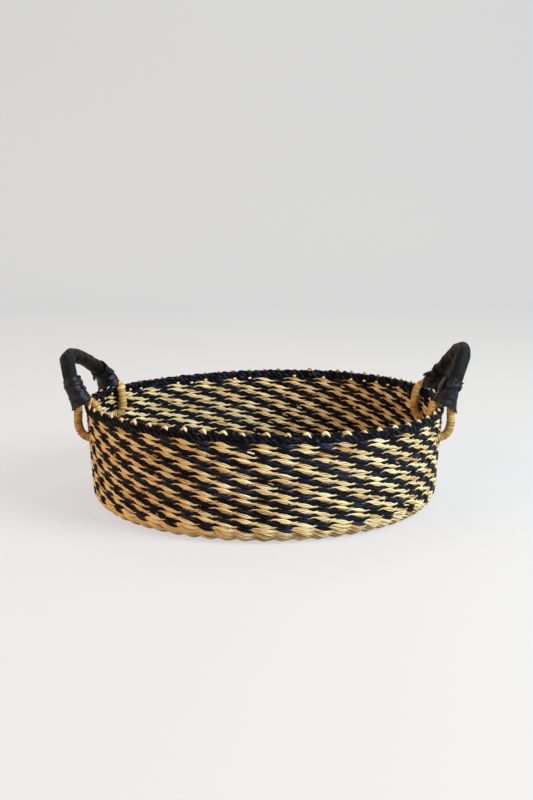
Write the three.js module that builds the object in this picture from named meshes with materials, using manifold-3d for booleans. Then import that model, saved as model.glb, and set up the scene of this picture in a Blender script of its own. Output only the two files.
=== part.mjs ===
// Round twined tray basket with two leather-gripped swing handles.
// Millimetres and degrees, +Z up, origin on the resting plane under the middle of the base.

import * as THREE from 'three';
import { mergeVertices } from 'three/addons/utils/BufferGeometryUtils.js';
import Module from 'manifold-3d';

// Basket form
const RIM_RADIUS = 200;
const RIM_HEIGHT = 112;
const WALL_FLARE = 6;
const HEEL_RUN = 18;
const HEEL_HEIGHT = 19;

// Woven layers
const STAKE_COUNT = 62;
const STAKE_SIZE = 2;
const WEFT = 1.3;
const SEAT = 0.3;
const WEAVE_RELIEF = 1.1;
const BORDER_HEIGHT = 10;
const BORDER_BULGE = 0.3;
const TIP_RISE = 1.6;
const HEEL_ROWS_TURN = 66;
const HUB_RADIUS = 30;

// Handle loops through the wall
const LOOP_DEPTH = 34;
const LEG_CORE_RADIUS = 2.5;
const GRASS_RADIUS = 0.75;
const WINDING_TURNS = 13;
const HOLE_PLAY = 1.8;
const RIGHT_HOLE_STEPS = [-3, 3];
const LEFT_HOLE_STEPS = [-4, 3];
const SWING_IN = 6;
const SWING_OUT = 4;

// Handle arch and leather
const RIGHT_RISE = 82;
const RIGHT_CREST_RATIO = -0.6;
const RIGHT_SKEW = 3;
const LEFT_RISE = 77.5;
const LEFT_CREST_RATIO = 0.5;
const LEFT_SKEW = 1;
const ARCH_OFFSET = 8.5;
const ARCH_LEAN = 21.5;
const ARCH_EXPONENT = 2.6;
const GRIP_CORE_RADIUS = 6.3;
const LEATHER = 1.3;
const CUFF_LIFT = 4.2;
const CUFF_SLANT = 30;
const CUFF_LENGTH = 27;
const CUFF_TAPER = 18;
const CORE_INSET = 7;
const TIE_WIDTH = 5;
const TIE_TAIL = 6;
const TIE_TAIL_TURN = Math.PI / 5;
const TIE_DROP = 6.5;

// Facets
const HEEL_STEPS = 3;
const ARCH_STEPS = 24;
const GRIP_SIDES = 10;
const CORE_SIDES = 6;
const LOOP_STEPS = 24;
const LEG_SIDES = 6;
const CURL_STEPS = 8;
const CURL_SIDES = 4;
const CUFF_SIDES = 12;
const HOLE_SIDES = 12;

// Values that follow from the driving dimensions
const WALL = 2 * WEFT + 2 * SEAT + STAKE_SIZE;
const HEEL_RADIUS = RIM_RADIUS - WALL_FLARE;
const FOOT_RADIUS = HEEL_RADIUS - HEEL_RUN;
const STAKE_STEP = (2 * Math.PI) / STAKE_COUNT;
const STAKE_DEPTH = WEFT + SEAT;
const BORDER_FOOT = RIM_HEIGHT - BORDER_HEIGHT;
const HEEL_STEP = Math.PI / 2 / HEEL_STEPS;
const HEEL_ROWS_END = THREE.MathUtils.degToRad(HEEL_ROWS_TURN) / HEEL_STEP;
const HOLE_HEIGHT = RIM_HEIGHT - LOOP_DEPTH;
const CURL_SAG = Math.cos(Math.PI / CURL_STEPS);
const WINDING_RADIUS = (LEG_CORE_RADIUS + SEAT + GRASS_RADIUS) / CURL_SAG;
const LEG_RADIUS = WINDING_RADIUS + GRASS_RADIUS;
const HOLE_RADIUS = LEG_RADIUS + HOLE_PLAY;
const HOLE_LIFT = HOLE_PLAY - SEAT;
const BORE_LENGTH = 8 * WALL;
const GRIP_INNER_RADIUS = (GRIP_CORE_RADIUS + SEAT) / Math.cos(Math.PI / GRIP_SIDES);
const GRIP_RADIUS = GRIP_INNER_RADIUS + LEATHER;
const LEAN_SLOPE = Math.tan(THREE.MathUtils.degToRad(ARCH_LEAN));
const ARCH_FOOT = LOOP_DEPTH + CUFF_LIFT;
const ALONG = new THREE.Vector3(0, 1, 0);
const MOUTH_TURN = THREE.MathUtils.degToRad(CUFF_SLANT);
const MOUTH_NORMAL = new THREE.Vector3(0, 0, 1).applyAxisAngle(ALONG, MOUTH_TURN);
const MOUTH_OUTWARD = ALONG.clone().cross(MOUTH_NORMAL);
const TIE_LEVELS = [-0.5, 0.5].map((half) => (CUFF_LENGTH - TIE_DROP + half * TIE_WIDTH) / CUFF_LENGTH);
const TAPER_LEVELS = [0, 1 / 3, 2 / 3, 1].map((share) => (share * CUFF_TAPER) / CUFF_LENGTH);
const CUFF_LEVELS = [...TAPER_LEVELS, ...TIE_LEVELS, 1];

const straw = new THREE.MeshStandardMaterial({ color: 0xd2ab66, roughness: 0.72, metalness: 0 });
const paleStraw = new THREE.MeshStandardMaterial({ color: 0xdfc486, roughness: 0.7, metalness: 0 });
const blackStraw = new THREE.MeshStandardMaterial({ color: 0x1b1d26, roughness: 0.6, metalness: 0 });
const leather = new THREE.MeshStandardMaterial({ color: 0x1c1918, roughness: 0.5, metalness: 0 });

const wasm = await Module();
wasm.setup();

/** Welds a geometry to bare positions and drops the triangles that collapse at a pole. */
function weld(geometry) {
  const bare = geometry.clone();
  bare.deleteAttribute('normal');
  bare.deleteAttribute('uv');
  const merged = mergeVertices(bare, 1e-4);
  const index = merged.getIndex().array;
  const kept = [];
  for (let i = 0; i < index.length; i += 3) {
    const [a, b, c] = index.slice(i, i + 3);
    if (a !== b && b !== c && c !== a) kept.push(a, b, c);
  }
  merged.setIndex(kept);
  return merged;
}

/** Turns a closed geometry into a solid that can be joined and cut. */
function solid(geometry) {
  const welded = weld(geometry);
  return new wasm.Manifold(new wasm.Mesh({
    numProp: 3,
    vertProperties: new Float32Array(welded.getAttribute('position').array),
    triVerts: new Uint32Array(welded.getIndex().array),
  }));
}

/** Turns a joined or cut solid back into a geometry. */
function geometryOf(body) {
  const { vertProperties, triVerts } = body.getMesh();
  const geometry = new THREE.BufferGeometry();
  geometry.setAttribute('position', new THREE.BufferAttribute(new Float32Array(vertProperties), 3));
  geometry.setIndex(Array.from(triVerts));
  return geometry;
}

const fuse = (bodies) => bodies.reduce((whole, body) => whole.add(body));

/** A named mesh with its normals. */
function piece(name, geometry, material) {
  geometry.computeVertexNormals();
  const mesh = new THREE.Mesh(geometry, material);
  mesh.name = name;
  return mesh;
}

/** Revolves a profile of (radius, height) points about Z, with a number of corners for each stake. */
function revolve(profile, corners = 1) {
  const lathe = new THREE.LatheGeometry(profile, STAKE_COUNT * corners, Math.PI / 2 + STAKE_STEP / 2);
  return weld(lathe.rotateX(Math.PI / 2));
}

/** Sinks a woven face between the stakes, where its two straws cross, by a depth above the heel. */
function ripple(geometry, depth) {
  const positions = geometry.getAttribute('position');
  const point = new THREE.Vector3();
  for (let i = 0; i < positions.count; i += 1) {
    point.fromBufferAttribute(positions, i);
    const fromStake = Math.atan2(point.y, point.x) - STAKE_STEP / 2;
    const crossing = (1 - Math.cos(STAKE_COUNT * fromStake)) / 2;
    const sunk = point.z > HEEL_HEIGHT - SEAT ? depth * crossing : 0;
    const scale = 1 - sunk / Math.hypot(point.x, point.y);
    positions.setXY(i, point.x * scale, point.y * scale);
  }
  return geometry;
}

/** Joins rings of points, each ring to the next and the last to the first, into a closed hollow band. */
function band(rings) {
  const sides = rings[0].length;
  const positions = rings.flat().flatMap((point) => point.toArray());
  const index = [];
  rings.forEach((ring, row) => {
    const next = ((row + 1) % rings.length) * sides;
    for (let side = 0; side < sides; side += 1) {
      const beside = (side + 1) % sides;
      const here = row * sides;
      index.push(here + side, here + beside, next + side);
      index.push(here + beside, next + beside, next + side);
    }
  });
  const geometry = new THREE.BufferGeometry();
  geometry.setAttribute('position', new THREE.Float32BufferAttribute(positions, 3));
  geometry.setIndex(index);
  return geometry;
}

/** A flat point at a radius and an angle. */
const polar = (radius, angle) => new THREE.Vector2(radius * Math.cos(angle), radius * Math.sin(angle));

/** A regular polygon as a flat shape. */
function polygon(sides, radius, Kind = THREE.Shape) {
  return new Kind(Array.from({ length: sides }, (_, i) => polar(radius, (2 * Math.PI * i) / sides)));
}

/** A closed tube along a curve. */
function tube(curve, steps, shape) {
  return weld(new THREE.ExtrudeGeometry(shape, { steps, extrudePath: curve, bevelEnabled: false }));
}

// Profile of the basket, at a depth behind its outside face
const heelCorner = (step, depth) => new THREE.Vector2(
  FOOT_RADIUS + (HEEL_RUN - depth) * Math.sin(step * HEEL_STEP),
  HEEL_HEIGHT - (HEEL_HEIGHT - depth) * Math.cos(step * HEEL_STEP),
);

const wallPoint = (height, depth) => new THREE.Vector2(
  HEEL_RADIUS + (WALL_FLARE * (height - HEEL_HEIGHT)) / (RIM_HEIGHT - HEEL_HEIGHT) - depth,
  height,
);

/** Points of the heel between two steps of its curve: every layer shares its corners and the runs between. */
function heelArc(depth, fromStep, toStep) {
  const corners = Array.from({ length: HEEL_STEPS }, (_, i) => i);
  const between = corners.filter((step) => step > fromStep && step < toStep);
  return [fromStep, ...between, toStep].map((step) => {
    const below = Math.floor(step);
    return heelCorner(below, depth).lerp(heelCorner(below + 1, depth), step - below);
  });
}

/** A closed profile between two depths, up the heel and the wall. */
function wallProfile(outerDepth, innerDepth, fromStep, toHeight) {
  const face = (depth) => [...heelArc(depth, fromStep, HEEL_STEPS), wallPoint(toHeight, depth)];
  const outside = face(outerDepth);
  return [...outside, ...face(innerDepth).reverse(), outside[0]];
}

/** A closed profile of one face of the border, rounded over at the rim. */
function borderProfile(faceDepth, backDepth) {
  const bulgeDepth = faceDepth + Math.sign(faceDepth - backDepth) * BORDER_BULGE;
  const foot = BORDER_FOOT + SEAT;
  const crown = [
    wallPoint(foot, faceDepth),
    wallPoint((foot + RIM_HEIGHT) / 2, bulgeDepth),
    wallPoint(RIM_HEIGHT - WEFT / 2, faceDepth),
    wallPoint(RIM_HEIGHT, backDepth),
    wallPoint(foot, backDepth),
  ];
  const upward = faceDepth < backDepth ? crown : crown.reverse();
  return [...upward, upward[0]];
}

/** A flat round layer of the base. */
function disc(fromHeight, toHeight) {
  const edge = FOOT_RADIUS - SEAT;
  const corners = [[0, fromHeight], [edge, fromHeight], [edge, toHeight], [0, toHeight]];
  return revolve(corners.map((corner) => new THREE.Vector2(...corner)));
}

/** One stake: flat along the base from the hub, round the heel and up past the rim. */
function stake(angle) {
  const side = (depth) => [
    new THREE.Vector2(HUB_RADIUS - STAKE_SIZE, depth),
    ...heelArc(depth, 0, HEEL_STEPS),
    wallPoint(RIM_HEIGHT + TIP_RISE, depth),
  ];
  const outline = [...side(STAKE_DEPTH), ...side(STAKE_DEPTH + STAKE_SIZE).reverse()];
  const section = new THREE.Shape(outline);
  const slab = new THREE.ExtrudeGeometry(section, { depth: STAKE_SIZE, bevelEnabled: false });
  return solid(slab.translate(0, 0, -STAKE_SIZE / 2).rotateX(Math.PI / 2).rotateZ(angle));
}

/** The warp: a hub at the middle of the base and the stakes that fan out from it and turn up the wall. */
function warp() {
  const hub = new THREE.CylinderGeometry(HUB_RADIUS, HUB_RADIUS, STAKE_SIZE, STAKE_COUNT);
  const start = solid(hub.rotateX(Math.PI / 2).translate(0, 0, STAKE_DEPTH + STAKE_SIZE / 2));
  const stakes = Array.from({ length: STAKE_COUNT }, (_, i) => stake((i + 0.5) * STAKE_STEP));
  return geometryOf(fuse([start, ...stakes]));
}

// Where each handle is tied in: its two wall holes lie midway between stakes, low angle first
const handlePlans = [
  {
    side: 'right', lowEnd: 'near', highEnd: 'far',
    shape: { rise: RIGHT_RISE, crest: RIGHT_CREST_RATIO, skew: RIGHT_SKEW },
    holes: RIGHT_HOLE_STEPS.map((steps) => steps * STAKE_STEP),
  },
  {
    side: 'left', lowEnd: 'far', highEnd: 'near',
    shape: { rise: LEFT_RISE, crest: LEFT_CREST_RATIO, skew: LEFT_SKEW },
    holes: LEFT_HOLE_STEPS.map((steps) => Math.PI + steps * STAKE_STEP),
  },
];

/** Place of a handle: the middle of its hinge line, its turn about Z and half the way between its holes. */
function seatOf({ holes }) {
  const radius = wallPoint(HOLE_HEIGHT, WALL / 2).x;
  const [low, high] = holes.map((angle) => polar(radius, angle));
  const line = high.clone().sub(low);
  const middle = low.clone().add(high).multiplyScalar(0.5);
  return { middle, turn: line.angle() - Math.PI / 2, halfSpan: line.length() / 2 };
}

/** The four round holes in the wall, each bored along its handle's outward direction. */
function loopHoles() {
  return handlePlans.flatMap((plan) => {
    const { middle, turn, halfSpan } = seatOf(plan);
    return [-halfSpan, halfSpan].map((along) => {
      const bore = new THREE.CylinderGeometry(HOLE_RADIUS, HOLE_RADIUS, BORE_LENGTH, HOLE_SIDES);
      bore.rotateZ(Math.PI / 2).translate(0, along, 0).rotateZ(turn);
      return solid(bore.translate(middle.x, middle.y, HOLE_HEIGHT + HOLE_LIFT));
    });
  });
}

/** A woven face of the wall, rippled between the stakes and with the loop holes left open. */
function boredWall(outerDepth, innerDepth, fromStep, relief) {
  const profile = wallProfile(outerDepth, innerDepth, fromStep, BORDER_FOOT);
  const face = solid(ripple(revolve(profile, 2), relief));
  return geometryOf(loopHoles().reduce((wall, hole) => wall.subtract(hole), face));
}

/** Centre line of a handle from cuff to cuff: a squared arch that leans outward and slumps at one end. */
class Arch extends THREE.Curve {
  constructor(halfSpan, { rise, crest, skew }) {
    super();
    Object.assign(this, { halfSpan, rise, crest, skew });
  }

  getPoint(t, target = new THREE.Vector3()) {
    const across = -Math.cos(Math.PI * t);
    const along = Math.sign(across) * Math.abs(across) ** (2 / ARCH_EXPONENT);
    const height = (this.rise - ARCH_FOOT) * (1 + this.crest * along);
    const up = ARCH_FOOT + height * Math.sin(Math.PI * t) ** (2 / ARCH_EXPONENT);
    const outward = ARCH_OFFSET + (up - LOOP_DEPTH) * LEAN_SLOPE + this.skew * along;
    return target.set(outward, this.halfSpan * along, up);
  }

  /** A point at a length up the arch from one of its ends, and the direction in which it rises there. */
  fromEnd(run, high) {
    const share = run / this.getLength();
    const place = high ? 1 - share : share;
    const rising = this.getTangentAt(place).multiplyScalar(high ? -1 : 1);
    return { point: this.getPointAt(place), rising };
  }

  /** The arch without a length at each of its ends. */
  without(run) {
    const start = run / this.getLength();
    const step = (1 - 2 * start) / ARCH_STEPS;
    const points = Array.from({ length: ARCH_STEPS + 1 }, (_, i) => this.getPointAt(start + step * i));
    return new THREE.CatmullRomCurve3(points);
  }
}

/** Centre line of one loop: down outside the wall, through its hole and up inside, with slack to swing. */
function loopCurve(arch, high, oblique) {
  const rimShift = (WALL_FLARE * LOOP_DEPTH) / (RIM_HEIGHT - HEEL_HEIGHT);
  const reach = (WALL / 2 + BORDER_BULGE + LEG_RADIUS) / Math.cos(oblique) + SEAT;
  const slack = (degrees) => LOOP_DEPTH * Math.tan(THREE.MathUtils.degToRad(degrees));
  const outer = rimShift + reach + slack(SWING_IN);
  const inner = rimShift - reach - slack(SWING_OUT);
  const { y } = arch.fromEnd(0, high).point;
  const point = (outward, up) => new THREE.Vector3(outward, y, up);
  const bend = (leg, turn) => point(leg * Math.sin(turn), Math.abs(leg) * (1 - Math.cos(turn)));
  return new THREE.CatmullRomCurve3([
    arch.fromEnd(CORE_INSET + 2 * LEG_RADIUS, high).point,
    point(outer, LOOP_DEPTH),
    bend(outer, Math.PI / 2),
    bend(outer, Math.PI / 4),
    point(0, 0),
    bend(inner, Math.PI / 4),
    bend(inner, Math.PI / 2),
    point(inner, LOOP_DEPTH + LEG_RADIUS),
    arch.fromEnd(CORE_INSET + 3 * LEG_RADIUS, high).point,
  ]);
}

/** The stretch of a loop up to a height past its cuff's mouth, as its first and last share of its length. */
function stretchBelow(loop, mouth, past) {
  const samples = 400;
  const shares = Array.from({ length: samples + 1 }, (_, i) => i / samples);
  const below = shares.filter((share) => mouth.distanceToPoint(loop.getPointAt(share)) < past);
  return [below[0], below.at(-1)];
}

/** How far out and in the legs of a loop reach from the arch, in the slanted plane of their cuff's mouth. */
function legReach(loop, mouth, centre) {
  const [outer, inner] = stretchBelow(loop, mouth, 0);
  const reach = (share) => loop.getPointAt(share).sub(centre).dot(MOUTH_OUTWARD);
  const half = (share) => LEG_RADIUS / Math.abs(loop.getTangentAt(share).dot(MOUTH_NORMAL));
  return { outer: reach(outer) + half(outer), inner: reach(inner) - half(inner) };
}

/** Centre line of the grass wound round a loop: a helix about the loop's own centre line. */
function windingCurve(loop, mouth) {
  const [from, to] = stretchBelow(loop, mouth, GRASS_RADIUS);
  const count = WINDING_TURNS * CURL_STEPS;
  const points = Array.from({ length: count + 1 }, (_, i) => {
    const share = from + ((to - from) * i) / count;
    const normal = ALONG.clone().cross(loop.getTangentAt(share));
    const angle = (2 * Math.PI * i) / CURL_STEPS;
    const offset = normal.multiplyScalar(Math.cos(angle)).addScaledVector(ALONG, Math.sin(angle));
    return loop.getPointAt(share).addScaledVector(offset, WINDING_RADIUS);
  });
  return new THREE.CatmullRomCurve3(points);
}

/** Least gap between a winding's turns, measured between points more than half a turn apart. */
function leastGap(curve) {
  const points = curve.getSpacedPoints(WINDING_TURNS * CURL_STEPS * 2);
  const nearest = points.map((point, i) => {
    const others = points.slice(i + CURL_STEPS + 1);
    return others.reduce((least, other) => Math.min(least, point.distanceTo(other)), Infinity);
  });
  return Math.min(...nearest) - 2 * GRASS_RADIUS;
}

/** One ring of a cuff, from its slanted mouth at level 0 to its top at 1, grown by a thickness. */
function cuffRing(arch, legs, high, level, growth) {
  const run = CUFF_LENGTH * level;
  const { point: axis, rising } = arch.fromEnd(run, high);
  const settle = Math.min(run / CUFF_TAPER, 1);
  const normal = MOUTH_NORMAL.clone().lerp(rising, settle).normalize();
  const along = ALONG.clone().addScaledVector(normal, -normal.y).normalize();
  const outward = along.clone().cross(normal);
  const facing = Math.cos(Math.PI / CUFF_SIDES);
  const fit = (GRIP_RADIUS + SEAT) / facing;
  const spare = SEAT + ((legs.outer - legs.inner) / 2) * (1 / facing - 1);
  const outer = THREE.MathUtils.lerp(legs.outer + spare, fit, 1 - (1 - settle) ** 2);
  const inner = THREE.MathUtils.lerp(legs.inner - spare, -fit, settle * settle * (3 - 2 * settle));
  const middle = axis.addScaledVector(outward, (outer + inner) / 2);
  return Array.from({ length: CUFF_SIDES }, (_, i) => {
    const angle = (2 * Math.PI * i) / CUFF_SIDES;
    const point = middle.clone().addScaledVector(outward, ((outer - inner) / 2 + growth) * Math.cos(angle));
    return point.addScaledVector(along, (fit + growth) * Math.sin(angle));
  });
}

/** A leather cuff: a tapered sleeve that takes in both legs of a loop at its mouth. */
function cuff(arch, legs, high) {
  const face = (growth) => CUFF_LEVELS.map((level) => cuffRing(arch, legs, high, level, growth));
  return band([...face(LEATHER), ...face(0).reverse()]);
}

/** A leather tie round a cuff, with its cut end standing off towards the middle of the handle. */
function tie(arch, legs, high) {
  const back = LEATHER + SEAT;
  const face = (growth) => TIE_LEVELS.map((level) => cuffRing(arch, legs, high, level, back + growth));
  const hoop = solid(band([...face(LEATHER), ...face(0).reverse()]));
  const inward = high ? -1 : 1;
  const corner = high ? (3 * CUFF_SIDES) / 4 : CUFF_SIDES / 4;
  const [lower, upper] = face(LEATHER / 2);
  const seat = lower[corner].clone().lerp(upper[corner], 0.5);
  const tail = new THREE.BoxGeometry(TIE_WIDTH - 2 * SEAT, TIE_TAIL, LEATHER);
  tail.translate(0, (inward * TIE_TAIL) / 2, 0).rotateX(-inward * TIE_TAIL_TURN);
  tail.translate(seat.x, seat.y, seat.z);
  return geometryOf(hoop.add(solid(tail)));
}

/** A whole handle on its hinge line: straw core, wound loops, leather grip, cuffs and ties. */
function handle({ side, lowEnd, highEnd, shape, holes }) {
  const { middle, turn, halfSpan } = seatOf({ holes });
  const arch = new Arch(halfSpan, shape);
  const group = new THREE.Group();
  const bundle = tube(arch.without(CORE_INSET), ARCH_STEPS, polygon(CORE_SIDES, GRIP_CORE_RADIUS));
  const coreParts = [solid(bundle)];
  [lowEnd, highEnd].forEach((end, i) => {
    const high = i === 1;
    const loop = loopCurve(arch, high, holes[i] - turn);
    const centre = arch.fromEnd(0, high).point;
    const mouth = new THREE.Plane().setFromNormalAndCoplanarPoint(MOUTH_NORMAL, centre);
    const winding = windingCurve(loop, mouth);
    const legs = legReach(loop, mouth, centre);
    coreParts.push(solid(tube(loop, LOOP_STEPS, polygon(LEG_SIDES, LEG_CORE_RADIUS))));
    const grass = tube(winding, WINDING_TURNS * CURL_STEPS, polygon(CURL_SIDES, GRASS_RADIUS));
    console.log(`${side} ${end} winding: least gap to itself ${leastGap(winding).toFixed(2)} mm`);
    group.add(piece(`${side}_${end}_loop_winding`, grass, paleStraw));
    group.add(piece(`${side}_${end}_cuff`, cuff(arch, legs, high), leather));
    group.add(piece(`${side}_${end}_tie`, tie(arch, legs, high), leather));
  });
  group.add(piece(`${side}_handle_core`, geometryOf(fuse(coreParts)), straw));
  const sleeve = polygon(GRIP_SIDES, GRIP_RADIUS);
  sleeve.holes.push(polygon(GRIP_SIDES, GRIP_INNER_RADIUS, THREE.Path));
  const grip = tube(arch.without(CUFF_TAPER + LEATHER), ARCH_STEPS, sleeve);
  group.add(piece(`${side}_grip_sleeve`, grip, leather));
  group.position.set(middle.x, middle.y, HOLE_HEIGHT);
  group.rotation.z = turn;
  return group;
}

/** The woven body: warp, wall, border, heel rows and base. */
function basket() {
  const group = new THREE.Group();
  const innerFace = WALL - WEFT;
  const heelFace = (depth) => heelArc(depth, 0, HEEL_ROWS_END);
  const heelRing = (outer, inner) => {
    const face = heelFace(outer);
    return revolve([...face, ...heelFace(inner).reverse(), face[0]]);
  };
  const wallStart = HEEL_ROWS_END + SEAT / HEEL_RUN / HEEL_STEP;
  group.add(piece('warp_stakes', warp(), straw));
  group.add(piece('wall_weft_outer', boredWall(0, WEFT, wallStart, WEAVE_RELIEF), straw));
  group.add(piece('wall_weft_inner', boredWall(innerFace, WALL, wallStart, -WEAVE_RELIEF), straw));
  group.add(piece('border_weft_outer', revolve(borderProfile(0, WEFT)), blackStraw));
  group.add(piece('border_weft_inner', revolve(borderProfile(WALL, innerFace)), blackStraw));
  group.add(piece('heel_rows', heelRing(0, WEFT), paleStraw));
  group.add(piece('heel_rows_inner', heelRing(innerFace, WALL), paleStraw));
  group.add(piece('base_weft_under', disc(0, WEFT), straw));
  group.add(piece('base_weft_upper', disc(innerFace, WALL), straw));
  return group;
}

const tray = new THREE.Group();
tray.add(basket());
handlePlans.forEach((plan) => tray.add(handle(plan)));

export default tray;
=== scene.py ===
"""Round twined tray basket with two leather-gripped swing handles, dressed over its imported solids.

Sizes are in millimetres and become metres where a mesh is made. The basket stands on z = 0 about the Z axis,
the photographed front faces -Y and the right handle is on +X.
"""

import logging
import math
from dataclasses import dataclass, field
from enum import Enum, IntEnum

import bpy
import numpy as np
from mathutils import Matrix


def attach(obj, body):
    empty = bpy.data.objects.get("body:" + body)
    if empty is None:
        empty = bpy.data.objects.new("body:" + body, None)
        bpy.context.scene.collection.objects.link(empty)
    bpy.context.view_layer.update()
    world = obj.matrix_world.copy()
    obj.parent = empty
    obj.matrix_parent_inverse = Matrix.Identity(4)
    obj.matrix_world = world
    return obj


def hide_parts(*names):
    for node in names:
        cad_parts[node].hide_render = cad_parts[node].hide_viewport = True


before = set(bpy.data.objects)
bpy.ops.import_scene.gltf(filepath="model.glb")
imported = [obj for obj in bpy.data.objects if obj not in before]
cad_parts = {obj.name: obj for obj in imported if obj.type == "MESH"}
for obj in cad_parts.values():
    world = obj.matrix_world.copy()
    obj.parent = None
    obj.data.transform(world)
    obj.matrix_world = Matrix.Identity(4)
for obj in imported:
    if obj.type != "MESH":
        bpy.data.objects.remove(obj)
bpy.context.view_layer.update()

MM = 0.001
TURN = 2 * math.pi
STRAND_MAP = "strand"
TONE = "tone"
FIBRE_SHEET = (4000.0, 900.0)
SPAN_POINTS = 60
NEARLY_ONE = 0.999
log = logging.getLogger("woven_tray")

Triple = tuple[float, float, float]
Colour = Triple
Span = tuple[float, float]


class Dye(Enum):
    """Which of the two straws of a twined row a strand is."""

    NATURAL = 0
    BLACK = 1


class Side(Enum):
    """The two handles, by the side of the photograph they are on."""

    LEFT = "left"
    RIGHT = "right"


class End(Enum):
    """The two ends of a handle, by their distance from the photographed front."""

    NEAR = "near"
    FAR = "far"


class Seed(IntEnum):
    """Where each kind of unevenness starts its random draws. The first two add to the seed of the rows."""

    STRAW = 20
    STRAW_FIBRE = 40
    SWAY = 5
    WALL_UPPER = 11
    WALL_LOWER = 17
    HEEL = 31
    BASE = 51
    HUB = 71
    RIBS = 73
    BORDER = 81
    BORDER_FIBRE = 83
    BORDER_CORE = 84
    BORDER_ROW = 85
    STAKE_ENDS = 91
    CAP_FIBRE = 93
    TIP_FIBRE = 95
    SPLICES = 101
    SPLICE_FIBRE = 103
    LEG_CORE = 111
    ARCH_CORE = 113
    GRASS = 200
    GRASS_FIBRE = 210
    BINDING = 240
    CUFF = 300
    TIE = 400
    TAIL = 500
    GRIP = 600


@dataclass
class Patch:
    """A surface in millimetres with what its finish reads at every point.

    Attributes:
        points: Positions, one row each.
        faces: Arrays of corner numbers, one array for each number of corners.
        along: Length along the strand.
        across: Distance across the strand.
        tone: Lightness at each point, from 0 to 1: the fibre's own, with painted shade and highlight added on
            some pieces.
        period: Length after which `along` starts again, or 0 on an open strand.
    """

    points: np.ndarray
    faces: list[np.ndarray]
    along: np.ndarray
    across: np.ndarray
    tone: np.ndarray
    period: np.ndarray


def join(patches: list[Patch]) -> Patch:
    """Puts several patches into one, each one's corner numbers moved on by the points before it.

    Args:
        patches: The patches, in order.

    Returns:
        One patch with all their points and faces.
    """
    starts = np.cumsum([0] + [len(p.points) for p in patches[:-1]])
    faces = [f + start for p, start in zip(patches, starts) for f in p.faces]
    pick = lambda name: np.concatenate([getattr(p, name) for p in patches])
    return Patch(pick("points"), faces, pick("along"), pick("across"), pick("tone"), pick("period"))


def unit(vectors: np.ndarray) -> np.ndarray:
    """Vectors divided by their lengths."""
    return vectors / np.linalg.norm(vectors, axis=-1, keepdims=True)


def smoothstep(x: np.ndarray) -> np.ndarray:
    """Goes from 0 to 1 as x does, level at both ends: 3x squared less 2x cubed."""
    x = np.clip(x, 0.0, 1.0)
    return x * x * (3 - 2 * x)


def wobble(rng: np.random.Generator, shape: tuple[int, ...], turns: np.ndarray, waves: int) -> np.ndarray:
    """Smooth random swing of about -1 to 1: a sum of sines of the first few whole numbers of waves a turn.

    Args:
        rng: Where the strengths and phases come from.
        shape: Shape of the set of curves.
        turns: Place along each curve, in whole turns.
        waves: How many sines are summed.

    Returns:
        Values of shape `shape` with one more axis for the place.
    """
    number = np.arange(1, waves + 1)
    strength = rng.normal(size=shape + (waves,)) / math.sqrt(waves)
    phase = rng.uniform(0, TURN, size=shape + (waves,))
    angle = TURN * number * np.asarray(turns)[..., None]
    return np.sum(strength[..., None, :] * np.sin(angle + phase[..., None, :]), axis=-1)


def soften(values: np.ndarray, width: int) -> np.ndarray:
    """Values smoothed down their rows by a bell of that many rows.

    Args:
        values: The values, as (rows, columns).
        width: An odd number of rows.

    Returns:
        Values of the same shape.
    """
    bell = np.hanning(width + 2)[1:-1]
    padded = np.pad(values, ((width // 2, width // 2), (0, 0)), mode="edge")
    return np.lib.stride_tricks.sliding_window_view(padded, width, axis=0) @ (bell / bell.sum())


def quads(rows: int, columns: int, wrap_rows: bool, copies: int = 1) -> np.ndarray:
    """Corner numbers of a grid whose columns close on themselves, repeated for a number of equal grids.

    Args:
        rows: Rings of the grid.
        columns: Points in a ring.
        wrap_rows: Whether the last ring joins the first.
        copies: How many grids follow each other in the points.

    Returns:
        Corner numbers, four to a face, turned so that rings that run left about the path face outwards.
    """
    i = np.arange(rows if wrap_rows else rows - 1)[:, None]
    j = np.arange(columns)[None, :]
    near, far = i * columns, ((i + 1) % rows) * columns
    beside = (j + 1) % columns
    corners = np.broadcast_arrays(near + j, near + beside, far + beside, far + j)
    one = np.stack(corners, axis=-1).reshape(-1, 4)
    return (one[None] + (np.arange(copies) * rows * columns)[:, None, None]).reshape(-1, 4)


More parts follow.
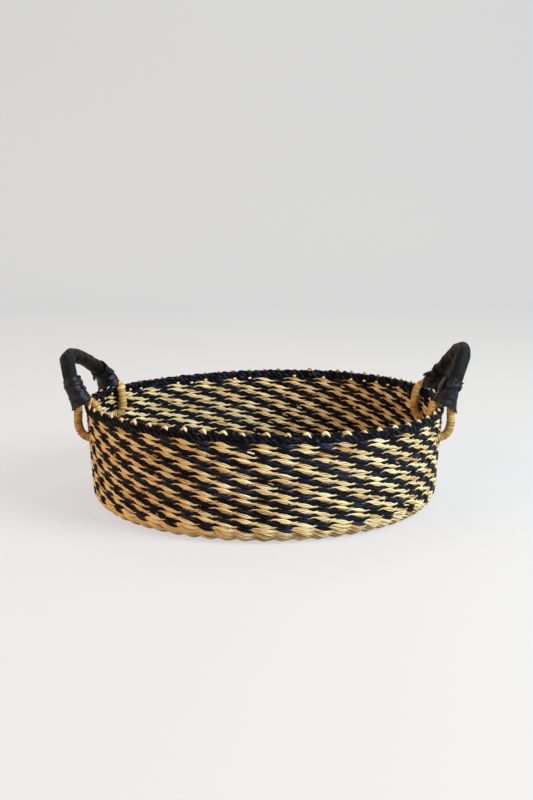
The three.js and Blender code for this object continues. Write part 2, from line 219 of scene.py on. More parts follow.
def sweep(
    path: np.ndarray,
    normal: np.ndarray,
    half_width: np.ndarray,
    half_thick: np.ndarray,
    sides: int,
    closed: bool,
    tone: np.ndarray,
    seed: int,
    edge: float = 0.0,
) -> Patch:
    """Carries an oval along many paths at once.

    A point is the path plus the cross direction times the half width times the cosine of the angle round the
    oval, plus the normal times the half thickness times its sine. The cross direction is square to the normal
    and the path. Each tube takes its fibres from a place of its own on the fibre sheet.

    Args:
        path: Points of the paths, as (paths, steps, 3).
        normal: Direction of the oval's thickness at each of them.
        half_width: Half of the oval's width at each, as (paths, steps).
        half_thick: Half of its thickness at each.
        sides: Points round the oval.
        closed: Whether a path's last point joins its first.
        tone: Lightness at each point of the paths.
        seed: Seed of the strands' places on the fibre pattern.
        edge: How much painted shade darkens the oval's lower edge against its upper one.

    Returns:
        The tubes as one patch, with flat ends on open paths.
    """
    count, steps, _ = path.shape
    if closed:
        tangent = np.roll(path, -1, axis=1) - np.roll(path, 1, axis=1)
    else:
        tangent = np.gradient(path, axis=1)
    tangent = unit(tangent)
    side = unit(np.cross(normal, tangent))
    lift = np.cross(tangent, side)
    angle = TURN * (np.arange(sides) + 0.5) / sides
    wide = half_width[..., None] * np.cos(angle)
    thick = half_thick[..., None] * np.sin(angle)
    points = path[:, :, None] + side[:, :, None] * wide[..., None] + lift[:, :, None] * thick[..., None]
    step = np.linalg.norm(np.diff(path, axis=1), axis=-1)
    length = np.concatenate([np.zeros((count, 1)), np.cumsum(step, axis=1)], axis=1)
    whole = length[:, -1] + np.linalg.norm(path[:, 0] - path[:, -1], axis=-1)
    rng = np.random.default_rng(seed)
    start, lane = (rng.uniform(0, size, count) for size in FIBRE_SHEET)
    spread = lambda values: np.broadcast_to(values, (count, steps, sides)).reshape(-1)
    faces = [quads(steps, sides, closed, count)]
    if not closed:
        ring = np.arange(sides)[None, :] + (np.arange(count) * steps * sides)[:, None]
        faces.append(np.concatenate([ring[:, ::-1], ring + (steps - 1) * sides]))
    return Patch(
        points.reshape(-1, 3),
        faces,
        spread((length + start[:, None])[..., None]),
        spread(wide + lane[:, None, None]),
        # Painted shade: the tone falls from the oval's upper edge to its lower one.
        spread(tone[..., None] - edge * (0.5 - 0.5 * np.cos(angle))),
        spread((whole if closed else np.zeros(count))[:, None, None]),
    )


def shell(outer: np.ndarray, inner: np.ndarray, tone: np.ndarray) -> Patch:
    """Closes two grids of rings into a hollow sleeve: up the outer rings and back down the inner ones.

    Args:
        outer: Rings of the outside, as (rings, points, 3), that run left about the way from first to last.
        inner: The same rings on the inside.
        tone: Lightness at the outer points, as (rings, points).

    Returns:
        One closed band.
    """
    rings = np.concatenate([outer, inner[::-1]])
    rows, columns, _ = rings.shape
    middle = outer.mean(axis=1)
    length = np.concatenate([[0], np.cumsum(np.linalg.norm(np.diff(middle, axis=0), axis=-1))])
    around = TURN * np.arange(columns) / columns
    girth = np.linalg.norm(outer - middle[:, None], axis=-1)
    both = lambda values: np.concatenate([values, values[::-1]]).reshape(-1)
    return Patch(
        rings.reshape(-1, 3),
        [quads(rows, columns, True)],
        both(np.broadcast_to(length[:, None], girth.shape)),
        both(girth * np.cos(around)),
        both(tone),
        np.zeros(rows * columns),
    )


def smooth_path(knots: np.ndarray, count: int) -> np.ndarray:
    """Even points on a smooth curve through knots.

    Each span is a cubic whose end slopes weigh the neighbouring spans by the root of their lengths, and the
    points are then spread evenly by length.

    Args:
        knots: Points that the curve goes through, as (knots, 3).
        count: How many points to return.

    Returns:
        The points, as (count, 3).
    """
    ends = np.concatenate([[2 * knots[0] - knots[1]], knots, [2 * knots[-1] - knots[-2]]])
    root = np.sqrt(np.linalg.norm(np.diff(ends, axis=0), axis=1))[:, None]
    a, b, c, d = ends[:-3], ends[1:-2], ends[2:-1], ends[3:]
    before, here, after = root[:-2], root[1:-1], root[2:]
    leave = here * ((b - a) / before - (c - a) / (before + here) + (c - b) / here)
    reach = here * ((c - b) / here - (d - b) / (here + after) + (d - c) / after)
    t = np.linspace(0, 1, SPAN_POINTS)[None, :, None]
    cubic = (
        b[:, None] + leave[:, None] * t
        + (3 * (c - b) - 2 * leave - reach)[:, None] * t**2
        + (2 * (b - c) + leave + reach)[:, None] * t**3
    ).reshape(-1, 3)
    return spread_evenly(cubic, count)


def spread_evenly(points: np.ndarray, count: int) -> np.ndarray:
    """Points at equal lengths along a line of points.

    Args:
        points: The line, as (points, 3).
        count: How many points to return.

    Returns:
        The points, as (count, 3).
    """
    length = np.concatenate([[0], np.cumsum(np.linalg.norm(np.diff(points, axis=0), axis=1))])
    place = np.linspace(0, length[-1], count)
    return np.stack([np.interp(place, length, points[:, k]) for k in range(3)], axis=-1)


class NodeSheet:
    """The nodes of one material, laid down one at a time."""

    def __init__(self, name: str) -> None:
        """Starts a material with its surface shader and output.

        Args:
            name: The material's name.
        """
        self.material = bpy.data.materials.new(name)
        self.material.use_nodes = True
        self.tree = self.material.node_tree
        self.tree.nodes.clear()
        self.shader = self.tree.nodes.new("ShaderNodeBsdfPrincipled")
        output = self.tree.nodes.new("ShaderNodeOutputMaterial")
        self.tree.links.new(self.shader.outputs["BSDF"], output.inputs["Surface"])

    def put(
        self, kind: str, inputs: dict[str | int, object] | None = None, **settings: object
    ) -> bpy.types.Node:
        """Adds a node.

        Args:
            kind: Blender's name of the node.
            inputs: Sockets of other nodes to link in, or values to set, by input name or number.
            settings: Properties of the node.

        Returns:
            The node.
        """
        node = self.tree.nodes.new(kind)
        for name, value in settings.items():
            setattr(node, name, value)
        self.feed(node, inputs or {})
        return node

    def feed(self, node: bpy.types.Node, inputs: dict[str | int, object]) -> None:
        """Links sockets into a node's inputs, or sets their values.

        Args:
            node: The node.
            inputs: Sockets or values, by input name or number.
        """
        for name, value in inputs.items():
            if isinstance(value, bpy.types.NodeSocket):
                self.tree.links.new(value, node.inputs[name])
            else:
                node.inputs[name].default_value = value

    def ramp(self, factor: bpy.types.NodeSocket, stops: list[tuple[float, Colour]]) -> bpy.types.NodeSocket:
        """A colour ramp.

        Args:
            factor: What it reads.
            stops: Places from 0 to 1 with their colours.

        Returns:
            The colour.
        """
        node = self.put("ShaderNodeValToRGB", {"Fac": factor})
        elements = node.color_ramp.elements
        while len(elements) < len(stops):
            elements.new(0.5)
        for element, (place, colour) in zip(elements, stops):
            element.position = place
            element.color = (*colour, 1.0)
        return node.outputs["Color"]

    def blend(self, factor: object, low: object, high: object) -> bpy.types.NodeSocket:
        """Two colours mixed.

        Args:
            factor: Share of the second.
            low: The first colour.
            high: The second colour.

        Returns:
            The colour.
        """
        node = self.put("ShaderNodeMix", {0: factor, 6: low, 7: high}, data_type="RGBA", blend_type="MIX")
        return node.outputs[2]

    def work(self, operation: str, first: object, second: object) -> bpy.types.NodeSocket:
        """One step of arithmetic on two numbers."""
        return self.put("ShaderNodeMath", {0: first, 1: second}, operation=operation).outputs[0]

    def rescale(self, value: object, source: Span, target: Span) -> bpy.types.NodeSocket:
        """A number moved from one range to another and held there."""
        inputs = {0: value, 1: source[0], 2: source[1], 3: target[0], 4: target[1]}
        return self.put("ShaderNodeMapRange", inputs).outputs[0]

    def noise(self, vector: bpy.types.NodeSocket, scale: float, detail: float) -> bpy.types.NodeSocket:
        """Noise from 0 to 1 at a vector."""
        return self.put("ShaderNodeTexNoise", {"Vector": vector, "Scale": scale, "Detail": detail}).outputs[0]

    def strand_map(self, scale: Span) -> bpy.types.NodeSocket:
        """The strand's own length and width, in millimetres, each times its scale."""
        strand = self.put("ShaderNodeUVMap", uv_map=STRAND_MAP).outputs[0]
        return self.put("ShaderNodeMapping", {"Vector": strand, "Scale": (*scale, 1.0)}).outputs[0]

    def place(self) -> bpy.types.NodeSocket:
        """The place on the object, in metres."""
        return self.put("ShaderNodeTexCoord").outputs["Object"]

    def tone(self) -> bpy.types.NodeSocket:
        """The lightness that the mesh carries at every point."""
        return self.put("ShaderNodeAttribute", attribute_name=TONE).outputs["Fac"]

    def surface(
        self, colour: bpy.types.NodeSocket, rough: bpy.types.NodeSocket, height: bpy.types.NodeSocket,
        strength: float, relief: float, specular: float,
    ) -> bpy.types.Material:
        """Puts colour, roughness and relief on the shader.

        Args:
            colour: The surface's colour.
            rough: Its roughness.
            height: Its relief, from 0 to 1.
            strength: How strongly the relief shows.
            relief: Height of the relief, in millimetres.
            specular: How strongly the surface reflects.

        Returns:
            The finished material.
        """
        bump = self.put("ShaderNodeBump", {"Height": height, "Strength": strength, "Distance": relief * MM})
        self.feed(self.shader, {"Base Color": colour, "Roughness": rough, "Normal": bump.outputs[0]})
        self.shader.inputs["Specular IOR Level"].default_value = specular
        return self.material


@dataclass(frozen=True)
class StrawFinish:
    """Grass straw: fine fibres along the strand, uneven colour and a satin face.

    Attributes:
        slot: Name of its material slot; not used.
        dark: Colour between the fibres: the darkest fibres, and the painted shade between them and on the
            blades' lower edges.
        stain: Colour of the odd brown patch.
        roughness: Roughness from the palest to the darkest fibre.
        fibre: How many fibres lie across a millimetre.
        relief: Height of the fibres, in millimetres.
        fibre_run: How often a fibre changes in a millimetre along it.
        thread_count: How many threads lie across a fibre.
        fibre_shift: By how much the fibres move the colour along its ramp, as the threads and the tone do.
        tone_span: Lowest and highest tone of a strand.
        stops: Places of the three colours on the ramp.
        patch_scale: How closely the brown patches follow each other, in a metre.
    """

    name: str
    slot: str
    dark: Colour
    middle: Colour
    light: Colour
    stain: Colour
    roughness: Span
    specular: float
    fibre: float
    relief: float
    fibre_run: float = 0.045
    thread_run: float = 0.16
    thread_count: float = 2.6
    thread_relief: float = 0.35
    fibre_shift: Span = (0.0, 0.52)
    thread_shift: Span = (-0.1, 0.14)
    tone_span: Span = (-1.0, 1.5)
    tone_shift: Span = (-0.58, 0.72)
    stops: Triple = (0.0, 0.34, 0.85)
    patch_scale: float = 38.0
    patch_strength: float = 0.5
    bump: float = 0.8

    def material(self) -> bpy.types.Material:
        """Builds the finish.

        Stretched noise on the strand's own length and width makes fibres. The strand's tone, which on some
        pieces carries painted shade and highlight, shifts them along a colour ramp, broad noise stains them,
        and they also give the relief and the roughness.

        Returns:
            The material.
        """
        sheet = NodeSheet(self.name)
        fibre = sheet.noise(sheet.strand_map((self.fibre_run, self.fibre)), 1.0, 2.0)
        thread = sheet.noise(sheet.strand_map((self.thread_run, self.thread_count * self.fibre)), 1.0, 1.0)
        patch = sheet.noise(sheet.place(), self.patch_scale, 2.0)
        fibres = sheet.rescale(fibre, (0.3, 0.7), self.fibre_shift)
        threads = sheet.rescale(thread, (0.25, 0.75), self.thread_shift)
        tone = sheet.rescale(sheet.tone(), self.tone_span, self.tone_shift)
        level = sheet.work("ADD", sheet.work("ADD", fibres, threads), tone)
        colour = sheet.ramp(level, list(zip(self.stops, (self.dark, self.middle, self.light))))
        share = sheet.rescale(patch, (0.55, 0.75), (0.0, self.patch_strength))
        stained = sheet.blend(share, colour, (*self.stain, 1.0))
        ridge = sheet.work("ADD", fibre, sheet.work("MULTIPLY", thread, self.thread_relief))
        rough = sheet.rescale(level, (0.1, 0.9), self.roughness[::-1])
        return sheet.surface(stained, rough, ridge, self.bump, self.relief, self.specular)


@dataclass(frozen=True)
class LeatherFinish:
    """Black leather: a pebbled grain, soft creases with painted shade in their hollows, and paler ridges
    where it is rubbed and where painted highlight and sheen lie.

    Attributes:
        slot: Name of its material slot; not used.
        dark: Colour in the creases, as painted shade.
        rubbed_and_lit: Colour where it is rubbed, and of the painted highlight and sheen.
        roughness: Roughness from the smoothest to the driest places.
        grain: Pebbles across a metre.
        relief: Height of the grain, in millimetres.
        crease_scale: How often creases follow each other in a millimetre, along the piece and across it.
        cloud_scale: How closely its paler clouds follow each other, in a metre. On the cuff they are painted
            patches of sheen.
        crease_shift: By how much the creases move the colour along its ramp, as the clouds and the tone do.
        stops: Places of the three colours on the ramp.
        pebble_edge: Width of the dip between two pebbles, as a share of one.
        pebble_relief: Height of a pebble against the creases'.
    """

    name: str
    slot: str
    dark: Colour
    middle: Colour
    rubbed_and_lit: Colour
    roughness: Span
    specular: float
    grain: float
    relief: float
    crease_scale: Span = (0.07, 0.5)
    cloud_scale: float = 60.0
    crease_shift: Span = (0.0, 0.4)
    cloud_shift: Span = (0.0, 0.25)
    tone_shift: Span = (-0.15, 0.5)
    stops: Triple = (0.1, 0.45, 0.95)
    pebble_edge: float = 0.12
    pebble_relief: float = 0.35
    bump: float = 0.7

    def material(self) -> bpy.types.Material:
        """Builds the finish.

        Cells give the pebbles, noise stretched along the piece gives the creases with painted shade in their
        hollows, and the piece's tone marks the rubbed ridges together with painted light and shade.

        Returns:
            The material.
        """
        sheet = NodeSheet(self.name)
        place = sheet.place()
        cell = {"Vector": place, "Scale": self.grain}
        gap = sheet.put("ShaderNodeTexVoronoi", cell, feature="DISTANCE_TO_EDGE").outputs["Distance"]
        crease = sheet.noise(sheet.strand_map(self.crease_scale), 1.0, 4.0)
        cloud = sheet.noise(place, self.cloud_scale, 4.0)
        creases = sheet.rescale(crease, (0.3, 0.7), self.crease_shift)
        clouds = sheet.rescale(cloud, (0.35, 0.7), self.cloud_shift)
        tone = sheet.rescale(sheet.tone(), (0.0, 1.0), self.tone_shift)
        level = sheet.work("ADD", sheet.work("ADD", creases, clouds), tone)
        colour = sheet.ramp(level, list(zip(self.stops, (self.dark, self.middle, self.rubbed_and_lit))))
        pebbles = sheet.rescale(gap, (0.0, self.pebble_edge), (0.0, self.pebble_relief))
        raised = sheet.work("ADD", pebbles, crease)
        rough = sheet.rescale(level, (0.1, 0.9), self.roughness)
        return sheet.surface(colour, rough, raised, self.bump, self.relief, self.specular)


@dataclass(frozen=True)
class PaperFinish:
    """Plain pale studio paper under and behind the basket.

    Attributes:
        glow: What is added to it where it is seen straight or in a reflection.
        cloud_scale: How closely its faint clouds follow each other, in a metre.
        cloud: Colour in a cloud against the rest.
    """

    name: str
    colour: Colour
    glow: Colour
    cloud_scale: float = 1.5
    cloud: float = 0.96
    roughness: float = 0.9
    specular: float = 0.1

    def material(self) -> bpy.types.Material:
        """Builds the finish: one matt colour with faint broad clouds, paler where it is seen.

        Returns:
            The material.
        """
        sheet = NodeSheet(self.name)
        shade = sheet.noise(sheet.place(), self.cloud_scale, 2.0)
        dull = tuple(self.cloud * c for c in self.colour)
        colour = sheet.blend(shade, (*dull, 1.0), (*self.colour, 1.0))
        seen = sheet.put("ShaderNodeLightPath").outputs
        rays = sheet.work("MAXIMUM", seen["Is Camera Ray"], seen["Is Glossy Ray"])
        rays = sheet.work("MAXIMUM", rays, seen["Is Transmission Ray"])
        sheet.feed(sheet.shader, {"Base Color": colour, "Emission Strength": rays})
        sheet.shader.inputs["Emission Color"].default_value = (*self.glow, 1.0)
        sheet.shader.inputs["Roughness"].default_value = self.roughness
        sheet.shader.inputs["Specular IOR Level"].default_value = self.specular
        return sheet.material


Finish = StrawFinish | LeatherFinish | PaperFinish


NATURAL_STRAW = StrawFinish(
    name="natural_straw", slot="straw_natural", dark=(0.17, 0.06, 0.012), middle=(0.76, 0.5, 0.155),
    light=(0.9, 0.82, 0.52), stain=(0.45, 0.22, 0.065), roughness=(0.5, 0.7), specular=0.35,
    fibre=0.9, relief=0.5,
)
# Black straw: its pale colour is a painted blue-grey highlight, which the blades' upper edges and brightest
# fibres reach, and the blue in its middle colour is a painted sheen of the cool light.
BLACK_STRAW = StrawFinish(
    name="black_straw", slot="straw_black", dark=(0.0006, 0.0005, 0.0006), middle=(0.0022, 0.0027, 0.0046),
    light=(0.032, 0.041, 0.072), stain=(0.004, 0.003, 0.0025), roughness=(0.34, 0.55), specular=0.08,
    fibre=0.9, relief=0.5,
)
WINDING_GRASS = StrawFinish(
    name="winding_grass", slot="winding_grass", dark=(0.26, 0.11, 0.02), middle=(0.66, 0.4, 0.1),
    light=(0.86, 0.66, 0.28), stain=(0.46, 0.24, 0.06), roughness=(0.42, 0.62), specular=0.4,
    fibre=1.6, relief=0.25,
)
GRIP_LEATHER = LeatherFinish(
    name="grip_leather", slot="grip_leather", dark=(0.0012, 0.001, 0.0009), middle=(0.004, 0.0034, 0.003),
    rubbed_and_lit=(0.15, 0.135, 0.125), roughness=(0.5, 0.75), specular=0.16, grain=850.0, relief=0.55,
)
# The cuff's middle and pale colours are tinted blue: a painted bluish sheen of the cool light, which its
# paler clouds spread in patches.
CUFF_LEATHER = LeatherFinish(
    name="cuff_leather", slot="cuff_leather", dark=(0.001, 0.001, 0.0013), middle=(0.0028, 0.003, 0.0042),
    rubbed_and_lit=(0.02, 0.023, 0.034), roughness=(0.34, 0.52), specular=0.24, grain=900.0, relief=0.2,
)
STUDIO_PAPER = PaperFinish(name="studio_paper", colour=(0.25, 0.225, 0.195), glow=(0.56, 0.565, 0.575))


class Shop:
    """Makes finished pieces: keeps one material for each finish and counts the triangles."""

    def __init__(self) -> None:
        """Starts with no materials made."""
        self.materials: dict[str, bpy.types.Material] = {}
        self.triangles = 0

    def finish(self, finish: Finish) -> bpy.types.Material:
        """The material of a finish, made at its first use.

        Args:
            finish: The finish.

        Returns:
            Its material.
        """
        if finish.name not in self.materials:
            self.materials[finish.name] = finish.material()
        return self.materials[finish.name]

    def mesh(self, name: str, patch: Patch, finish: Finish) -> bpy.types.Object:
        """Puts a patch into a mesh object at the origin, smooth, with its strand map and tone.

        A face of a closed strand that crosses the strand's start takes the length past its end there.

        Args:
            name: The object's name.
            patch: The surface, in millimetres.
            finish: Its finish.

        Returns:
            The object.
        """
        mesh = bpy.data.meshes.new(name)
        corners = np.concatenate([f.reshape(-1) for f in patch.faces])
        sizes = np.concatenate([np.full(len(f), f.shape[1]) for f in patch.faces])
        mesh.vertices.add(len(patch.points))
        mesh.vertices.foreach_set("co", (patch.points * MM).astype(np.float32).reshape(-1))
        mesh.loops.add(len(corners))
        mesh.loops.foreach_set("vertex_index", corners.astype(np.int32))
        mesh.polygons.add(len(sizes))
        mesh.polygons.foreach_set("loop_start", (np.cumsum(sizes) - sizes).astype(np.int32))
        mesh.polygons.foreach_set("use_smooth", np.ones(len(sizes), bool))
        mesh.update(calc_edges=True)
        along = patch.along[corners]
        furthest = np.repeat(np.maximum.reduceat(along, np.cumsum(sizes) - sizes), sizes)
        period = patch.period[corners]
        along = np.where((period > 0) & (furthest - along > period / 2), along + period, along)
        strand = np.stack([along, patch.across[corners]], axis=-1)
        mesh.uv_layers.new(name=STRAND_MAP).uv.foreach_set("vector", strand.astype(np.float32).reshape(-1))
        mesh.attributes.new(TONE, "FLOAT", "POINT").data.foreach_set("value", patch.tone.astype(np.float32))
        mesh.materials.append(self.finish(finish))
        made = bpy.data.objects.new(name, mesh)
        bpy.context.scene.collection.objects.link(made)
        return made

    def piece(
        self,
        name: str,
        patch: Patch,
        finish: StrawFinish | LeatherFinish,
        body: str,
        nodes: tuple[str, ...] = (),
    ) -> None:
        """Makes a finished piece of the object on its body, standing for CAD nodes.

        Args:
            name: The piece's name.
            patch: Its surface.
            finish: Its finish.
            body: The CAD body that it rides on.
            nodes: The CAD nodes that it replaces.
        """
        made = self.mesh(name, patch, finish)
        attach(made, body)
        if nodes:
            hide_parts(*nodes)
        triangles = sum(len(f) * (f.shape[1] - 2) for f in patch.faces)
        self.triangles += triangles
        log.info("%s: %d triangles on %s", name, triangles, body)


@dataclass(frozen=True)
class Profile:
    """Middle line of the woven wall, by its length from the centre of the base: base, heel, then flared wall.

    Attributes:
        rim_radius: Outer radius of the rim.
        rim_height: Height of the rim.
        flare: How much wider the wall is at the rim than at the heel.
        heel_run: Outward run of the rounded heel.
        heel_height: Height of the rounded heel.
        half_wall: Half of the woven wall's thickness.
        saddle: How far the rim stands above and below its mean height.
        spare: How far the line goes on above the rim.
        heel_points: Points of the rounded heel.
        probe: Half of the length over which the line's direction is taken.
    """

    rim_radius: float = 200.0
    rim_height: float = 112.0
    flare: float = 6.0
    heel_run: float = 18.0
    heel_height: float = 19.0
    half_wall: float = 2.6
    saddle: float = 2.6
    spare: float = 12.0
    heel_points: int = 60
    probe: float = 0.5

    @property
    def foot(self) -> float:
        """Radius where the flat base ends, which is also its length along the line."""
        return self.rim_radius - self.flare - self.heel_run

    def table(self) -> tuple[np.ndarray, np.ndarray, np.ndarray]:
        """The line as lengths, radii and heights: a flat run, a quarter of an ellipse and a leaning straight.

        Returns:
            Length, radius and height at many places.
        """
        turn = np.linspace(0, math.pi / 2, self.heel_points)[1:]
        heel_radius = self.foot + (self.heel_run - self.half_wall) * np.sin(turn)
        heel_height = self.heel_height - (self.heel_height - self.half_wall) * np.cos(turn)
        top = self.rim_height + self.spare
        lean = self.flare * (top - self.heel_height) / (self.rim_height - self.heel_height)
        radius = np.concatenate([[0, self.foot], heel_radius, [heel_radius[-1] + lean]])
        height = np.concatenate([[self.half_wall, self.half_wall], heel_height, [top]])
        length = np.concatenate([[0], np.cumsum(np.hypot(np.diff(radius), np.diff(height)))])
        return length, radius, height

    def length_at(self, height: float) -> float:
        """Length of the line up to a height on the wall."""
        length, _, heights = self.table()
        return float(np.interp(height, heights[1:], length[1:]))

    def place(self, length: np.ndarray, angle: np.ndarray, lift: np.ndarray) -> tuple[np.ndarray, np.ndarray]:
        """Points at a length along the line, an angle about Z and a lift outwards from it.

        The radius and height come from the line, the outward direction is square to it, and the rim's slight
        saddle adds its height times the sine of twice the angle and the square of the share of the rim's
        height.

        Args:
            length: Length along the middle line.
            angle: Angle about Z.
            lift: Distance outwards from the middle line.

        Returns:
            The points and the outward directions.
        """
        at, radii, heights = self.table()
        before, after = length - self.probe, length + self.probe
        outward = np.interp(after, at, radii) - np.interp(before, at, radii)
        upward = np.interp(after, at, heights) - np.interp(before, at, heights)
        run = np.hypot(outward, upward)
        out, up = upward / run, -outward / run
        radius = np.interp(length, at, radii) + lift * out
        height = np.interp(length, at, heights) + lift * up
        height = height + self.saddle * np.sin(2 * angle) * (np.clip(height, 0, None) / self.rim_height) ** 2
        cos, sin = np.cos(angle), np.sin(angle)
        return np.stack([radius * cos, radius * sin, height], -1), np.stack([out * cos, out * sin, up], -1)


@dataclass(frozen=True)
class HandlePlan:
    """Where a handle is tied in and how it stands.

    Attributes:
        side: Which handle.
        facing: Angle about Z of that side of the basket.
        steps: Wall holes of its two ends, in stakes from that angle, low angle first.
        ends: Which end each of them is.
        rise: Height of the arch's middle above the holes.
        crest: How much higher the high-angle end stands, as a share of the arch.
        skew: How far the high-angle end leans out more.
        grip_radius: Radius of the leather grip.
        lap: Where round the grip its lapped edge lies, in turns from its upper side.
        grass_pitch: Distance between the turns of grass on its legs.
        far_drop: How far the far cuff's mouth hangs below the foot of the arch.
    """

    side: Side
    facing: float
    steps: tuple[int, int]
    ends: tuple[End, End]
    rise: float
    crest: float
    skew: float
    grip_radius: float
    lap: float
    grass_pitch: float
    far_drop: float


PLANS = (
    HandlePlan(
        Side.RIGHT, facing=0.0, steps=(-3, 3), ends=(End.NEAR, End.FAR), rise=82.0, crest=-0.6, skew=3.0,
        grip_radius=8.4, lap=0.82, grass_pitch=1.7, far_drop=4.0,
    ),
    HandlePlan(
        Side.LEFT, facing=math.pi, steps=(-4, 3), ends=(End.FAR, End.NEAR), rise=77.5, crest=0.5, skew=1.0,
        grip_radius=7.9, lap=0.16, grass_pitch=2.4, far_drop=7.0,
    ),
)


@dataclass(frozen=True)
class Unevenness:
    """How far hand-twined straw strays from even rows.

    All rows share the sway, and each has slow waves of its own. Stitches and their blades are shifted, and
    differ by shares of their lift and width and by their lightness.
    """

    sway: float = 0.6
    sway_waves: int = 4
    row: float = 0.18
    row_waves: int = 9
    place: float = 0.1
    blade_place: float = 0.14
    lift: float = 0.05
    width: float = 0.09
    tone: float = 0.14
    blade_tone: float = 0.3


